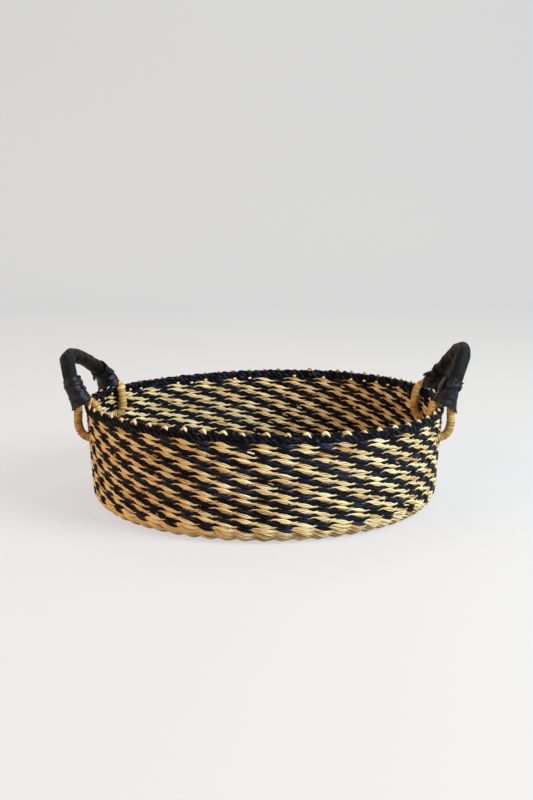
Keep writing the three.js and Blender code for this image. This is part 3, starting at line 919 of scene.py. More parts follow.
@dataclass
class TwinedWeave:
    """Rows of two straws that twist round each other, one in front of each stake and one behind it.

    A straw is a bundle of flat blades. Its lift from the middle line is its swing times the cosine of half
    the stakes times the angle, to a power that keeps it flat where the straws cross. Its place falls by its
    drop times a triangle wave with its tips cut off, so that it slants evenly across the face. The blades
    lie side by side over a stake and close up where the two straws cross, the natural ones to a point and
    the black ones less.

    Attributes:
        loop_depth: How far below the rim the loop holes are.
        pitch: Distance between the wall's rows.
        first_row: How far below the rim the first of them is.
        wall_rows: How many there are at that pitch.
        swing: How far a straw lifts from the middle line.
        drop: How far it falls on either side of its stake.
        cut: How much taller the triangle wave would be with its tips.
        apart: Distance between blades: where natural straws cross, where black ones do, and over a stake.
        blade: Half width of a blade at these places.
        thick: Half of its thickness at these places.
        flank: Power that keeps a straw flat where it crosses.
        crown: How much higher a bundle's middle blade lies.
        edge: How much painted shade darkens a blade's lower edge.
        black_tone: How much less a full black straw has.
        tone_span: Lowest and highest lightness of a blade.
        hole_shift: How far below the loops' depth the holes' middles are.
        hole_spread: How far the rows part at a hole.
        hole_reach: How far sideways that goes.
        hole_rise: How far up and down that goes.
        hole_squeeze: Share by which straws narrow beside a hole.
        loose: How uneven it all is.
        steps: Points of a straw from a stake to the next.
        sides: Points round a blade.
    """

    profile: Profile
    stakes: int = 62
    loop_depth: float = 34.0
    pitch: float = 5.04
    first_row: float = 12.5
    wall_rows: int = 17
    swing: float = 1.6
    drop: float = 1.85
    cut: float = 1.2
    apart: Triple = (0.2, 0.45, 1.7)
    blade: Triple = (0.45, 0.75, 0.9)
    thick: Triple = (1.0, 0.5, 0.78)
    flank: float = 1.7
    crown: float = 0.3
    edge: float = 1.25
    tone: float = 0.95
    black_tone: float = 0.3
    tone_span: Span = (0.1, 1.5)
    hole_shift: float = 0.6
    hole_spread: float = 5.6
    hole_reach: float = 10.0
    hole_rise: float = 11.0
    hole_squeeze: float = 0.35
    loose: Unevenness = Unevenness()
    steps: int = 6
    sides: int = 6

    @property
    def step(self) -> float:
        """Angle from a stake to the next."""
        return TURN / self.stakes

    @property
    def rim(self) -> float:
        """Length along the profile up to the rim."""
        return self.profile.length_at(self.profile.rim_height)

    def wall_lengths(self) -> np.ndarray:
        """Places of the wall's rows along the profile, from the border down."""
        return self.rim - self.first_row - self.pitch * np.arange(self.wall_rows)

    def holes(self) -> list[float]:
        """Angles about Z of the four loop holes."""
        return [plan.facing + steps * self.step for plan in PLANS for steps in plan.steps]

    def sideways(self, angle: np.ndarray, hole: float | np.ndarray) -> np.ndarray:
        """Distance round the rim from a hole to an angle."""
        return self.profile.rim_radius * ((angle - hole + math.pi) % TURN - math.pi)

    def parted(self, length: np.ndarray, angle: np.ndarray) -> tuple[np.ndarray, np.ndarray]:
        """Pushes rows apart round the four loop holes.

        The push is away from the hole's middle, falls off as a bell across the hole and with the distance
        from it.

        Args:
            length: Places along the profile.
            angle: Angles about Z.

        Returns:
            The pushed places, and how close each point is to a hole, from 0 to 1.
        """
        middle = self.profile.length_at(self.profile.rim_height - self.loop_depth) - self.hole_shift
        near = np.zeros_like(length)
        push = np.zeros_like(length)
        for hole in self.holes():
            across = self.sideways(angle, hole)
            upward = length - middle + self.profile.saddle * 0.5 * math.sin(2 * hole)
            close = np.exp(-((across / self.hole_reach) ** 2) - np.abs(upward) / self.hole_rise)
            push += self.hole_spread * np.sign(upward) * close
            near = np.maximum(near, close)
        return length + push, near

    def strands(
        self,
        lengths: np.ndarray,
        stakes: int,
        dye: Dye,
        blocks: np.ndarray,
        seed: int,
        size: float = 1.0,
        part: bool = True,
        blades: int = 3,
        twist: float = 1.0,
        fill: float | np.ndarray = 1.0,
    ) -> Patch:
        """One straw of each of a set of rows.

        Args:
            lengths: The rows' places along the profile.
            stakes: Stakes that they go round.
            dye: Which of the two straws.
            blocks: By how many stakes each row's colours are shifted.
            seed: Seed of the strands' unevenness.
            size: Width and thickness against the wall's.
            part: Whether the rows part round the loop holes.
            blades: How many blades are in the bundle.
            twist: How steeply the straws slant against the wall's.
            fill: How far a black straw of each row fills the crossings.

        Returns:
            The blades as closed rings.
        """
        loose = self.loose
        common, rng = np.random.default_rng(seed), np.random.default_rng(seed + Seed.STRAW + dye.value)
        rows, steps = len(lengths), stakes * self.steps
        turns = (np.arange(steps) + 0.5) / steps
        angle = np.broadcast_to(TURN * turns, (rows, steps))
        phase = stakes / 2 * angle - math.pi * (0.5 + (blocks + dye.value)[:, None])
        front = np.cos(phase) ** 2
        slant = np.clip(self.cut * np.arcsin(NEARLY_ONE * np.sin(phase)) / (math.pi / 2), -1, 1)
        sway = np.sign(np.cos(phase)) * np.abs(np.cos(phase)) ** self.flank
        each = lambda spread: self.eased(rng.normal(0, spread, (rows, stakes)), turns * stakes)
        shared = wobble(np.random.default_rng(Seed.SWAY), (), turns, loose.sway_waves)
        drift = loose.sway * shared + loose.row * wobble(common, (rows,), turns, loose.row_waves)
        middle = lengths[:, None] + drift - size * twist * self.drop * slant + each(loose.place)
        near = np.zeros_like(middle)
        if part:
            middle, near = self.parted(middle, angle)
        squeeze = size * (1 - self.hole_squeeze * near)
        fuller = (dye.value * fill if part else 0.5) * np.ones((rows, 1))
        close = lambda sizes: (sizes[0] + (sizes[1] - sizes[0]) * fuller) * (1 - front) + sizes[2] * front
        apart, half = squeeze * close(self.apart), squeeze * close(self.blade)
        thick = size * close(self.thick)
        nearest = np.floor(turns * stakes).astype(int)
        stitch = rng.normal(0, loose.tone, (rows, stakes))
        patches = []
        for number, offset in enumerate(np.linspace(-1, 1, blades) if blades > 1 else (0.0,)):
            lift = size * sway * (self.swing + self.crown * (0.5 - abs(offset))) * (1 + each(loose.lift))
            path, normal = self.profile.place(middle + offset * apart + each(loose.blade_place), angle, lift)
            width = (half if blades > 1 else half + apart) * (1 + each(loose.width))
            shade = (stitch + rng.normal(0, loose.blade_tone, (rows, stakes)))[:, nearest]
            tone = np.clip(self.tone - self.black_tone * fuller + shade, *self.tone_span)
            lane = seed + Seed.STRAW_FIBRE + 3 * number + dye.value
            # Painted shade on each blade's lower edge, by the weave's edge.
            patches.append(sweep(path, normal, width, thick, self.sides, True, tone, lane, self.edge))
        return join(patches)

    def plain_rows(
        self, lengths: np.ndarray, stakes: int, seed: int, size: float, blades: int, twist: float = 1.0
    ) -> Patch:
        """Rows twined of two straws of one colour.

        Args:
            lengths: The rows' places along the profile.
            stakes: Stakes that they go round.
            seed: Seed of their unevenness.
            size: Width and thickness against the wall's.
            blades: How many blades are in a straw.
            twist: How steeply the straws slant against the wall's.

        Returns:
            Both straws of every row.
        """
        blocks = np.arange(len(lengths))
        straw = lambda dye: self.strands(lengths, stakes, dye, blocks, seed, size, False, blades, twist)
        return join([straw(dye) for dye in Dye])

    def eased(self, values: np.ndarray, place: np.ndarray) -> np.ndarray:
        """Values at whole places joined by straight runs, the last to the first.

        Args:
            values: Values at the whole places, as (rows, places).
            place: Where they are wanted.

        Returns:
            The values there, as (rows, places).
        """
        low = np.floor(place).astype(int)
        share = place - low
        count = values.shape[1]
        return values[:, low % count] * (1 - share) + values[:, (low + 1) % count] * share


@dataclass(frozen=True)
class Rib:
    """A kind of flat rod that follows the profile between the straws, one for each stake.

    Attributes:
        place: Where each stands, in stakes.
        share: Its half width against the way from a stake to the next.
        half_thick: Half of its thickness.
    """

    place: float
    share: float
    half_thick: float


WARP_STAKE = Rib(place=0.5, share=0.09, half_thick=0.72)
# Black splints in the wall are a dark sheet put in the gaps between the straws as painted shade.
WALL_SHADE_SPLINT = Rib(place=0.0, share=0.257, half_thick=0.3)
BASE_SPLINT = Rib(place=0.0, share=0.5, half_thick=0.25)


@dataclass
class WovenBody:
    """The basket below its rim: patterned wall, natural heel rows, twined base, warp ribs and splice ends.

    Sizes of the heel's straws are against the wall's. A ring of the base is its outer reach with the stakes
    that it goes over, and the ribs run from their start near the hub to their end below the rim. Pairs of
    the splice ends are their least and most.
    """

    shop: Shop
    weave: TwinedWeave
    last_fill: float = 0.3
    heel_pitch: float = 4.3
    heel_rows: int = 4
    heel_size: float = 1.06
    heel_twist: float = 1.5
    base_pitch: float = 5.0
    base_rings: tuple[tuple[float, int], ...] = ((22.0, 8), (50.0, 16), (106.0, 30), (176.0, 62))
    hub_reach: float = 9.0
    hub_spread: float = 3.6
    hub_heights: Span = (1.6, 3.6)
    hub_radius: float = 1.25
    rib_start: float = 24.0
    rib_turn: float = 24.0
    rib_end: float = 9.0
    rib_tone: float = 0.35
    splices: int = 96
    splice_outside: float = 0.66
    splice_start: float = 4.0
    splice_reach: Span = (3.5, 7.5)
    splice_half: Span = (0.6, 1.15)
    body: str = "basket"

    def build(self) -> None:
        """Makes and dresses every piece of the basket."""
        weave = self.weave
        rows = weave.wall_lengths()
        rows = np.append(rows, rows[-1] - self.heel_pitch)
        heel = rows[-1] - self.heel_pitch * np.arange(1, self.heel_rows + 1)
        self.build_wall(rows)
        rope = weave.plain_rows(heel, weave.stakes, Seed.HEEL, self.heel_size, 3, self.heel_twist)
        self.shop.piece("heel_rope_rows", rope, NATURAL_STRAW, self.body, ("heel_rows", "heel_rows_inner"))
        self.build_base(heel[-1] - self.heel_pitch)
        self.build_ribs()
        Border(self.shop, weave).build()
        self.shop.piece("splice_ends", self.splice_ends(rows), NATURAL_STRAW, self.body)

    def build_wall(self, rows: np.ndarray) -> None:
        """Patterned rows, two and two alike, in an upper and a lower half of each colour.

        Args:
            rows: Places of the rows along the profile.
        """
        blocks = np.arange(len(rows)) // 2
        fill = np.where(rows > rows[-1], 1.0, self.last_fill)[:, None]
        half = len(rows) // 2
        for dye, finish, colour, node in (
            (Dye.NATURAL, NATURAL_STRAW, "natural", "wall_weft_outer"),
            (Dye.BLACK, BLACK_STRAW, "black", "wall_weft_inner"),
        ):
            for name, part, nodes, seed in (
                ("upper", slice(0, half), (node,), Seed.WALL_UPPER),
                ("lower", slice(half, None), (), Seed.WALL_LOWER),
            ):
                patch = self.weave.strands(
                    rows[part], self.weave.stakes, dye, blocks[part], seed, fill=fill[part]
                )
                self.shop.piece(f"wall_straw_{colour}_{name}", patch, finish, self.body, nodes)

    def build_base(self, start: float) -> None:
        """Twined rounds from the heel to the centre, over fewer stakes further in.

        Args:
            start: Place of the outermost round along the profile.
        """
        lengths = np.arange(start, self.base_pitch / 2, -self.base_pitch)
        inner = 0.0
        rings = []
        for number, (reach, stakes) in enumerate(self.base_rings):
            chosen = lengths[(lengths > inner) & (lengths <= reach)]
            rings.append(self.weave.plain_rows(chosen, stakes, Seed.BASE + 7 * number, 1.0, 1))
            inner = reach
        middle = join([*rings[:-1], self.hub()])
        self.shop.piece("base_rounds_inner", middle, NATURAL_STRAW, self.body, ("base_weft_upper",))
        self.shop.piece("base_rounds_outer", rings[-1], NATURAL_STRAW, self.body, ("base_weft_under",))

    def build_ribs(self) -> None:
        """Warp stakes from the hub to the border, with black splints in the wall that stand in for the shade
        in the gaps between the straws, and natural ones below.
        """
        foot = self.weave.profile.foot
        heel = np.linspace(foot + self.rib_turn / 6, foot + self.rib_turn, 6)
        floor = np.concatenate([np.linspace(self.rib_start, foot, 9), heel])
        wall = np.linspace(foot + self.rib_turn, self.weave.rim - self.rib_end, 28)
        stakes = self.ribs(np.concatenate([floor, wall[1:]]), WARP_STAKE)
        self.shop.piece("warp_ribs", stakes, NATURAL_STRAW, self.body, ("warp_stakes",))
        self.shop.piece("wall_shade_splints", self.ribs(wall, WALL_SHADE_SPLINT), BLACK_STRAW, self.body)
        self.shop.piece("base_splints", self.ribs(floor, BASE_SPLINT), NATURAL_STRAW, self.body)

    def hub(self) -> Patch:
        """The start of the base: two layers of four stake bundles, laid across each other.

        Returns:
            Eight short rods through the centre.
        """
        reach = np.linspace(-self.hub_reach, self.hub_reach, 9)[None, :]
        place = np.linspace(-self.hub_spread, self.hub_spread, 4)[:, None]
        low, high = (np.float64(height) for height in self.hub_heights)
        one = np.stack(np.broadcast_arrays(reach, place, low), -1)
        other = np.stack(np.broadcast_arrays(place, reach, high), -1)
        path = np.concatenate([one, other])
        normal = np.broadcast_to([0.0, 0.0, 1.0], path.shape)
        size = np.full(path.shape[:2], self.hub_radius)
        return sweep(path, normal, size, size, 8, False, np.full(size.shape, 0.45), Seed.HUB)

    def ribs(self, lengths: np.ndarray, rib: Rib) -> Patch:
        """Flat stakes or splints between the straws, as many as the weave has stakes.

        Each follows the profile, and its half width is a share of the way from a stake to the next, so that
        it narrows towards the hub.

        Args:
            lengths: Places along the profile that it goes through.
            rib: Which kind.

        Returns:
            One flat rod for each stake.
        """
        weave = self.weave
        stake = weave.step * (np.arange(weave.stakes)[:, None] + rib.place)
        length, angle = np.broadcast_arrays(lengths[None], stake)
        path, normal = weave.profile.place(length, angle, np.zeros_like(length))
        half_width = rib.share * weave.step * np.hypot(path[..., 0], path[..., 1])
        full = np.ones(length.shape)
        thick, tone = rib.half_thick * full, self.rib_tone * full
        return sweep(path, normal, half_width, thick, 6, False, tone, Seed.RIBS)

    def splice_ends(self, rows: np.ndarray) -> Patch:
        """Cut ends where a new straw was laid in: short stubs that lift off the face at the end of a stitch.

        A stub runs along its row, falls a little, lifts by a power of the share along it and narrows.

        Args:
            rows: Places of the wall's rows along the profile.

        Returns:
            The stubs as open tapered tubes.
        """
        weave, rng = self.weave, np.random.default_rng(Seed.SPLICES)
        one = (self.splices, 1)
        s = np.linspace(0, 1, 6)[None, :]
        face = np.where(rng.uniform(size=one) < self.splice_outside, 1.0, -1.0)
        row = rng.choice(rows[1:], one)
        stake = weave.step * (rng.integers(0, weave.stakes, one) + 0.5)
        reach = rng.uniform(*self.splice_reach, one)
        angle = stake + (self.splice_start + reach * s) / weave.profile.rim_radius * face
        length = row - 0.6 - 1.2 * s + rng.normal(0, 0.5, one)
        lift = face * (1.7 + (1.0 + rng.uniform(0, 0.9, one)) * s**1.3)
        path, normal = weave.profile.place(length, angle, lift)
        width = rng.uniform(*self.splice_half, one) * (1 - 0.45 * s**2)
        tone = np.clip(rng.choice([-0.35, 0.0, 0.9], one, p=[0.45, 0.3, 0.25]) + 0.3 * s, -0.4, 1)
        return sweep(path, normal * face[..., None], width, 0.6 * width, 6, False, tone, Seed.SPLICE_FIBRE)


@dataclass
class Border:
    """The rim: black straws wrapped over it, a black row under them, and the natural stake ends.

    Widths and thicknesses are halves. Knots are what a straw shows of itself in half its length, the press
    is a handle's leg on the inside, and a straw's end is tucked in from a share of its half length on. Caps
    are the stake ends on the rim, with the outward and the upward share of the way they face, and tips are
    those inside.
    """

    shop: Shop
    weave: TwinedWeave
    per_stake: int = 6
    height: float = 8.8
    slant: float = 20.0
    width: float = 1.15
    thick: float = 0.85
    core: float = 2.0
    knots: float = 1.7
    knot_depth: float = 0.9
    inner_dip: float = 0.2
    press: float = 1.6
    press_reach: float = 12.0
    swell: float = 0.3
    scallop: float = 1.1
    tuck_start: float = 0.75
    tuck: float = 1.5
    row: float = 7.6
    cap_reach: float = 5.0
    cap_rise: float = 3.9
    cap_seat: float = 3.2
    cap_width: float = 1.85
    cap_thick: float = 0.6
    cap_lean: Span = (0.7, 0.75)
    tip_share: float = 0.62
    tip_seat: float = 9.0
    tip_reach: float = 3.2
    tip_radius: float = 1.45
    body: str = "basket"

    def build(self) -> None:
        """Makes and dresses the border and its stake ends."""
        weave = self.weave
        row = np.array([weave.wall_lengths()[0] + weave.first_row - self.row])
        under = weave.plain_rows(row, weave.stakes, Seed.BORDER_ROW, 1.0, 3)
        wrapped = join([self.wrap(), self.rim_core(), under])
        nodes = ("border_weft_outer", "border_weft_inner")
        self.shop.piece("border_straw", wrapped, BLACK_STRAW, self.body, nodes)
        self.shop.piece("border_stake_ends", self.stake_ends(), NATURAL_STRAW, self.body)

    @property
    def crown(self) -> float:
        """Length along the profile up to the core's middle."""
        return self.weave.rim - self.thick - self.core

    def wrap(self) -> Patch:
        """Black straws wrapped over the rim.

        Each goes up the outside, round over the rim and down the inside, and leans to the left as it climbs.
        Its lift and height follow a straight, a half circle and a straight, less a cosine that dips it under
        its neighbours, so that it shows as a row of knots, each lighter as a painted highlight and darker as
        painted shade where it dips. Its ends are tucked in, and the wrap swells between two stakes and draws
        in at a stake.

        Returns:
            The straws as open tubes.
        """
        weave, rng = self.weave, np.random.default_rng(Seed.BORDER)
        count = self.per_stake * weave.stakes
        t = np.linspace(-1.0, 1.0, 31)[None, :]
        bend = self.core * math.pi / 2
        run = t * (self.height - self.core + bend)
        over = np.clip(run / bend, -1, 1) * math.pi / 2
        below = np.clip(np.abs(run) - bend, 0, None)
        tuck = smoothstep((np.abs(t) - self.tuck_start) / (1 - self.tuck_start))
        index = np.arange(count)[:, None]
        start = weave.step * (index + 0.5) / self.per_stake
        swell = np.cos(TURN * (index + 0.5) / self.per_stake)
        loose = rng.normal(0, 1, (4, count, 1))
        knot = 0.5 + 0.5 * np.cos(TURN * (self.knots * t + 0.5 * (index % 2) + 0.1 * loose[1]))
        inside = np.clip((t + 0.25) / 0.25, 0, 1)
        dip = self.knot_depth * (1 - knot) + inside * (self.inner_dip + self.press * self.pressed(start))
        lift = -np.sin(over) * (self.core + 0.6 + self.swell * swell - self.tuck * tuck - dip)
        length = self.crown + (self.core - dip) * np.cos(over) - below
        length = length + (self.scallop * swell + 0.3 * loose[0]) * (1 - smoothstep(np.abs(t) / 0.6))
        sideways = self.slant * t + 0.5 * loose[2]
        angle = np.broadcast_to(start - sideways / weave.profile.rim_radius, length.shape)
        path, normal = weave.profile.place(length, angle, lift)
        centre, _ = weave.profile.place(np.full(length.shape, self.crown), angle, np.zeros(length.shape))
        away = unit(np.where((below > 0)[..., None], normal * -np.sign(t)[..., None], path - centre))
        width = self.width * (1 - 0.3 * tuck) * (0.6 + 0.4 * knot) * (1 + 0.1 * loose[3])
        thick = np.full(length.shape, self.thick)
        # Painted highlight on each knot and painted shade where the straw dips under its neighbours; the
        # weave's edge adds painted shade on its lower edge.
        tone = np.clip(-0.35 + (1.45 + 0.45 * rng.normal(0, 1, (count, 1))) * knot, -0.5, 1.5)
        return sweep(path, away, width, thick, 6, False, tone, Seed.BORDER_FIBRE, weave.edge)

    def rim_core(self) -> Patch:
        """The straw core that the wrap goes round, as one closed rod.

        Returns:
            The rod.
        """
        weave = self.weave
        ring = np.arange(4 * weave.stakes)[None] * weave.step / 4
        path, up = weave.profile.place(np.full(ring.shape, self.crown), ring, np.zeros(ring.shape))
        radius = np.full(ring.shape, self.core + 0.1)
        return sweep(path, up, radius, radius, 8, True, np.full(ring.shape, 0.3), Seed.BORDER_CORE)

    def pressed(self, angle: np.ndarray) -> np.ndarray:
        """How hard a handle's leg presses on the border: a bell on each wall hole, from 0 to 1."""
        across = self.weave.sideways(angle[..., None], np.array(self.weave.holes()))
        return np.exp(-((across / self.press_reach) ** 2)).max(axis=-1)

    def stake_ends(self) -> Patch:
        """Natural stake ends: a blade bent over the rim at each stake, and a cut tip inside at some.

        Returns:
            The blades and the tips.
        """
        rng = np.random.default_rng(Seed.STAKE_ENDS)
        stake = self.weave.step * (np.arange(self.weave.stakes)[:, None] + 0.5)
        return join([self.caps(rng, stake), self.tips(rng, stake)])

    def caps(self, rng: np.random.Generator, stake: np.ndarray) -> Patch:
        """Blades bent over the outer edge of the rim.

        A blade runs sideways over the rim and is folded at a peak right of its middle, from which its height
        falls on both sides by a power of the distance. Its left half is darker with painted shade and its
        right half lighter with painted light, and its face is turned half up and half outwards.

        Args:
            rng: Where their unevenness comes from.
            stake: Angles of the stakes.

        Returns:
            The blades as open tubes.
        """
        weave = self.weave
        t = np.linspace(-1, 1, 11)[None, :]
        loose = rng.normal(0, 1, (5, weave.stakes, 1))
        reach = self.cap_reach * (1 + 0.12 * loose[0])
        angle = stake + (t * reach + 0.8 * loose[3]) / weave.profile.rim_radius
        rise = self.cap_rise * (1 + 0.14 * loose[1])
        peak = t - (0.25 + 0.12 * loose[4]) * (1 - t**2)
        length = weave.rim - self.cap_seat + 0.35 * loose[4] + rise * (1 - np.abs(peak) ** 1.4)
        lift = 2.0 - 1.2 * (1 - t**2) + 0.2 * loose[2]
        path, normal = weave.profile.place(*np.broadcast_arrays(length, angle, lift))
        face = unit(self.cap_lean[0] * normal + np.array([0.0, 0.0, self.cap_lean[1]]))
        width = self.cap_width * np.sqrt(1.02 - t**2) * (1 + 0.12 * loose[2])
        thick = np.full(width.shape, self.cap_thick)
        # Painted shade on the left half and painted light on the right, and painted shade on the lower edge.
        tone = np.clip(0.5 + 0.16 * loose[1] + 0.45 * np.tanh(4 * peak), -0.2, 1)
        return sweep(path, face, width, thick, 8, False, tone, Seed.CAP_FIBRE, 0.3)

    def tips(self, rng: np.random.Generator, stake: np.ndarray) -> Patch:
        """Cut tips that curve out of the inside of the border, by a sine of the share along them.

        Args:
            rng: Where their unevenness comes from.
            stake: Angles of the stakes.

        Returns:
            The tips as open tapered tubes.
        """
        weave = self.weave
        chosen = stake[rng.uniform(size=weave.stakes) < self.tip_share]
        s = np.linspace(0, 1, 5)[None, :]
        angle = chosen + (self.tip_reach * s - 1.0) / weave.profile.rim_radius
        length = weave.rim - self.tip_seat + rng.normal(0, 0.9, (len(chosen), 1))
        lift = -2.3 - 1.1 * np.sin(math.pi * s * 0.6)
        path, normal = weave.profile.place(*np.broadcast_arrays(length, angle, lift))
        radius = np.broadcast_to(self.tip_radius - 0.4 * s**2, path.shape[:2])
        return sweep(path, -normal, radius, radius, 6, False, np.full(radius.shape, 0.75), Seed.TIP_FIBRE)


@dataclass(frozen=True)
class Tail:
    """A cut end of a leather lace that stands off its cuff.

    Attributes:
        place: Where round the cuff it leaves, in turns from the outward side.
        reach: Its length.
        start: Angle at which it leaves, from straight off the cuff towards the cuff's mouth.
        curl: By how much that angle grows along it.
        width: Its half width.
        level: Where up the cuff it leaves, from 0 at the mouth to 1 at the top.
    """

    place: float
    reach: float
    start: float
    curl: float
    width: float
    level: float


TAILS = {
    (Side.LEFT, End.NEAR): (
        Tail(0.45, 6.0, 0.9, 0.5, 3.0, 0.6),
        Tail(0.2, 8.0, 1.42, 0.0, 3.4, 0.98),
    ),
    (Side.LEFT, End.FAR): (
        Tail(0.06, 6.0, 0.8, 0.4, 3.0, 0.7),
        Tail(0.43, 15.0, 1.45, -0.4, 4.4, 0.98),
    ),
    (Side.RIGHT, End.NEAR): (
        Tail(0.9, 4.0, 1.56, 0.0, 2.4, 0.76),
        Tail(0.68, 12.0, 1.48, -0.1, 4.4, 1.0),
        Tail(0.52, 14.0, 1.3, 0.25, 6.0, 0.85),
    ),
    (Side.RIGHT, End.FAR): (
        Tail(0.5, 9.5, 0.87, 0.2, 2.6, 0.55),
        Tail(0.86, 22.0, 1.9, -5.2, 3.0, 0.06),
    ),
}
BOUND_LEG = (Side.LEFT, End.FAR)
ALONG = np.array([0.0, 1.0, 0.0])
# Places across a tie from edge to edge, with how far it stands out there.
TIE_PROFILE = ((-1.0, 0.0), (-0.9, 0.4), (-0.4, 0.6), (0.3, 0.65), (0.85, 0.5), (1.0, 0.0))


@dataclass
class Arch:
    """Centre line of a handle's arch, in directions of its own: outward, along the hinge line, up.

    Attributes:
        foot_lift: How far above the rim its feet are.
        offset: How far out from the hinge line it would pass the rim.
        lean: Degrees by which it leans outwards.
        exponent: How squared its oval is.
        core_inset: How far from its feet its straw core starts.
        taper: How far from its feet the cuffs have settled onto it.
        seat: Room between a piece and what it is fitted on.
        probe: Half of the length over which its direction is taken.
        turned: Turn of the hinge line about Z.
        middle: Middle of the hinge line.
        half_span: Half of the hinge line's length.
        line: Points of the arch.
        lengths: Length of the arch up to each of them.
    """

    plan: HandlePlan
    weave: TwinedWeave
    foot_lift: float = 4.2
    offset: float = 8.5
    lean: float = 21.5
    exponent: float = 2.6
    core_inset: float = 7.0
    taper: float = 18.0
    leather: float = 1.3
    seat: float = 0.3
    probe: float = 0.3
    points: int = 4001
    turned: float = field(init=False)
    middle: np.ndarray = field(init=False)
    half_span: float = field(init=False)
    line: np.ndarray = field(init=False)
    lengths: np.ndarray = field(init=False)

    def __post_init__(self) -> None:
        """Works out the hinge line from the two wall holes, and then the arch with its lengths."""
        profile = self.weave.profile
        height = profile.rim_height - self.weave.loop_depth
        flare = profile.flare * (height - profile.heel_height) / (profile.rim_height - profile.heel_height)
        radius = profile.rim_radius - profile.flare + flare - profile.half_wall
        angle = self.plan.facing + self.weave.step * np.array(self.plan.steps)
        holes = radius * np.stack([np.cos(angle), np.sin(angle)], -1)
        hinge = holes[1] - holes[0]
        self.turned = math.atan2(hinge[1], hinge[0]) - math.pi / 2
        self.middle = np.array([*holes.mean(axis=0), height])
        self.half_span = float(np.linalg.norm(hinge)) / 2
        self.line = self.curve(np.linspace(0, 1, self.points))
        steps = np.linalg.norm(np.diff(self.line, axis=0), axis=1)
        self.lengths = np.concatenate([[0], np.cumsum(steps)])

    @property
    def side(self) -> str:
        """The handle's side, as its pieces' names say it."""
        return self.plan.side.value

    @property
    def body(self) -> str:
        """The CAD body that the handle's pieces ride on."""
        return f"{self.side}_handle"

    @property
    def draw(self) -> int:
        """What this handle adds to the seeds of its pieces, so that the two differ."""
        return len(self.side)

    @property
    def slope(self) -> float:
        """Outward run of the arch for each millimetre that it rises."""
        return math.tan(math.radians(self.lean))

    def world(self, points: np.ndarray) -> np.ndarray:
        """Points from the handle's own directions to the basket's."""
        return self.turn(points) + self.middle

    def turn(self, vectors: np.ndarray) -> np.ndarray:
        """Directions from the handle's own to the basket's."""
        cos, sin = math.cos(self.turned), math.sin(self.turned)
        return vectors @ np.array([[cos, -sin, 0], [sin, cos, 0], [0, 0, 1]]).T

    def curve(self, share: np.ndarray) -> np.ndarray:
        """Points of the arch's centre line.

        It is half of a squared oval: along the hinge line the cosine, and upwards the sine, each to the
        power of two over the exponent. The crest makes one end higher, and it leans outwards as it rises,
        with a little skew.

        Args:
            share: Place on the arch, from 0 at the low-angle end to 1 at the other.

        Returns:
            The points.
        """
        power = 2 / self.exponent
        foot = self.weave.loop_depth + self.foot_lift
        across = -np.cos(math.pi * share)
        along = np.sign(across) * np.abs(across) ** power
        height = (self.plan.rise - foot) * (1 + self.plan.crest * along)
        up = foot + height * np.clip(np.sin(math.pi * share), 0, 1) ** power
        outward = self.offset + (up - self.weave.loop_depth) * self.slope + self.plan.skew * along
        return np.stack([outward, self.half_span * along, up], -1)

    def from_end(self, run: float | np.ndarray, high: bool) -> tuple[np.ndarray, np.ndarray]:
        """Points at lengths up the arch from one of its ends, and the directions in which it rises there.

        Args:
            run: Lengths from the end.
            high: Whether it is the high-angle end.

        Returns:
            The points and the unit directions.
        """
        run = np.asarray(run, float)
        at = lambda place: np.stack([np.interp(place, self.lengths, self.line[:, k]) for k in range(3)], -1)
        place = self.lengths[-1] - run if high else run
        rising = unit(at(place + self.probe) - at(place - self.probe)) * (-1 if high else 1)
        return at(place), rising


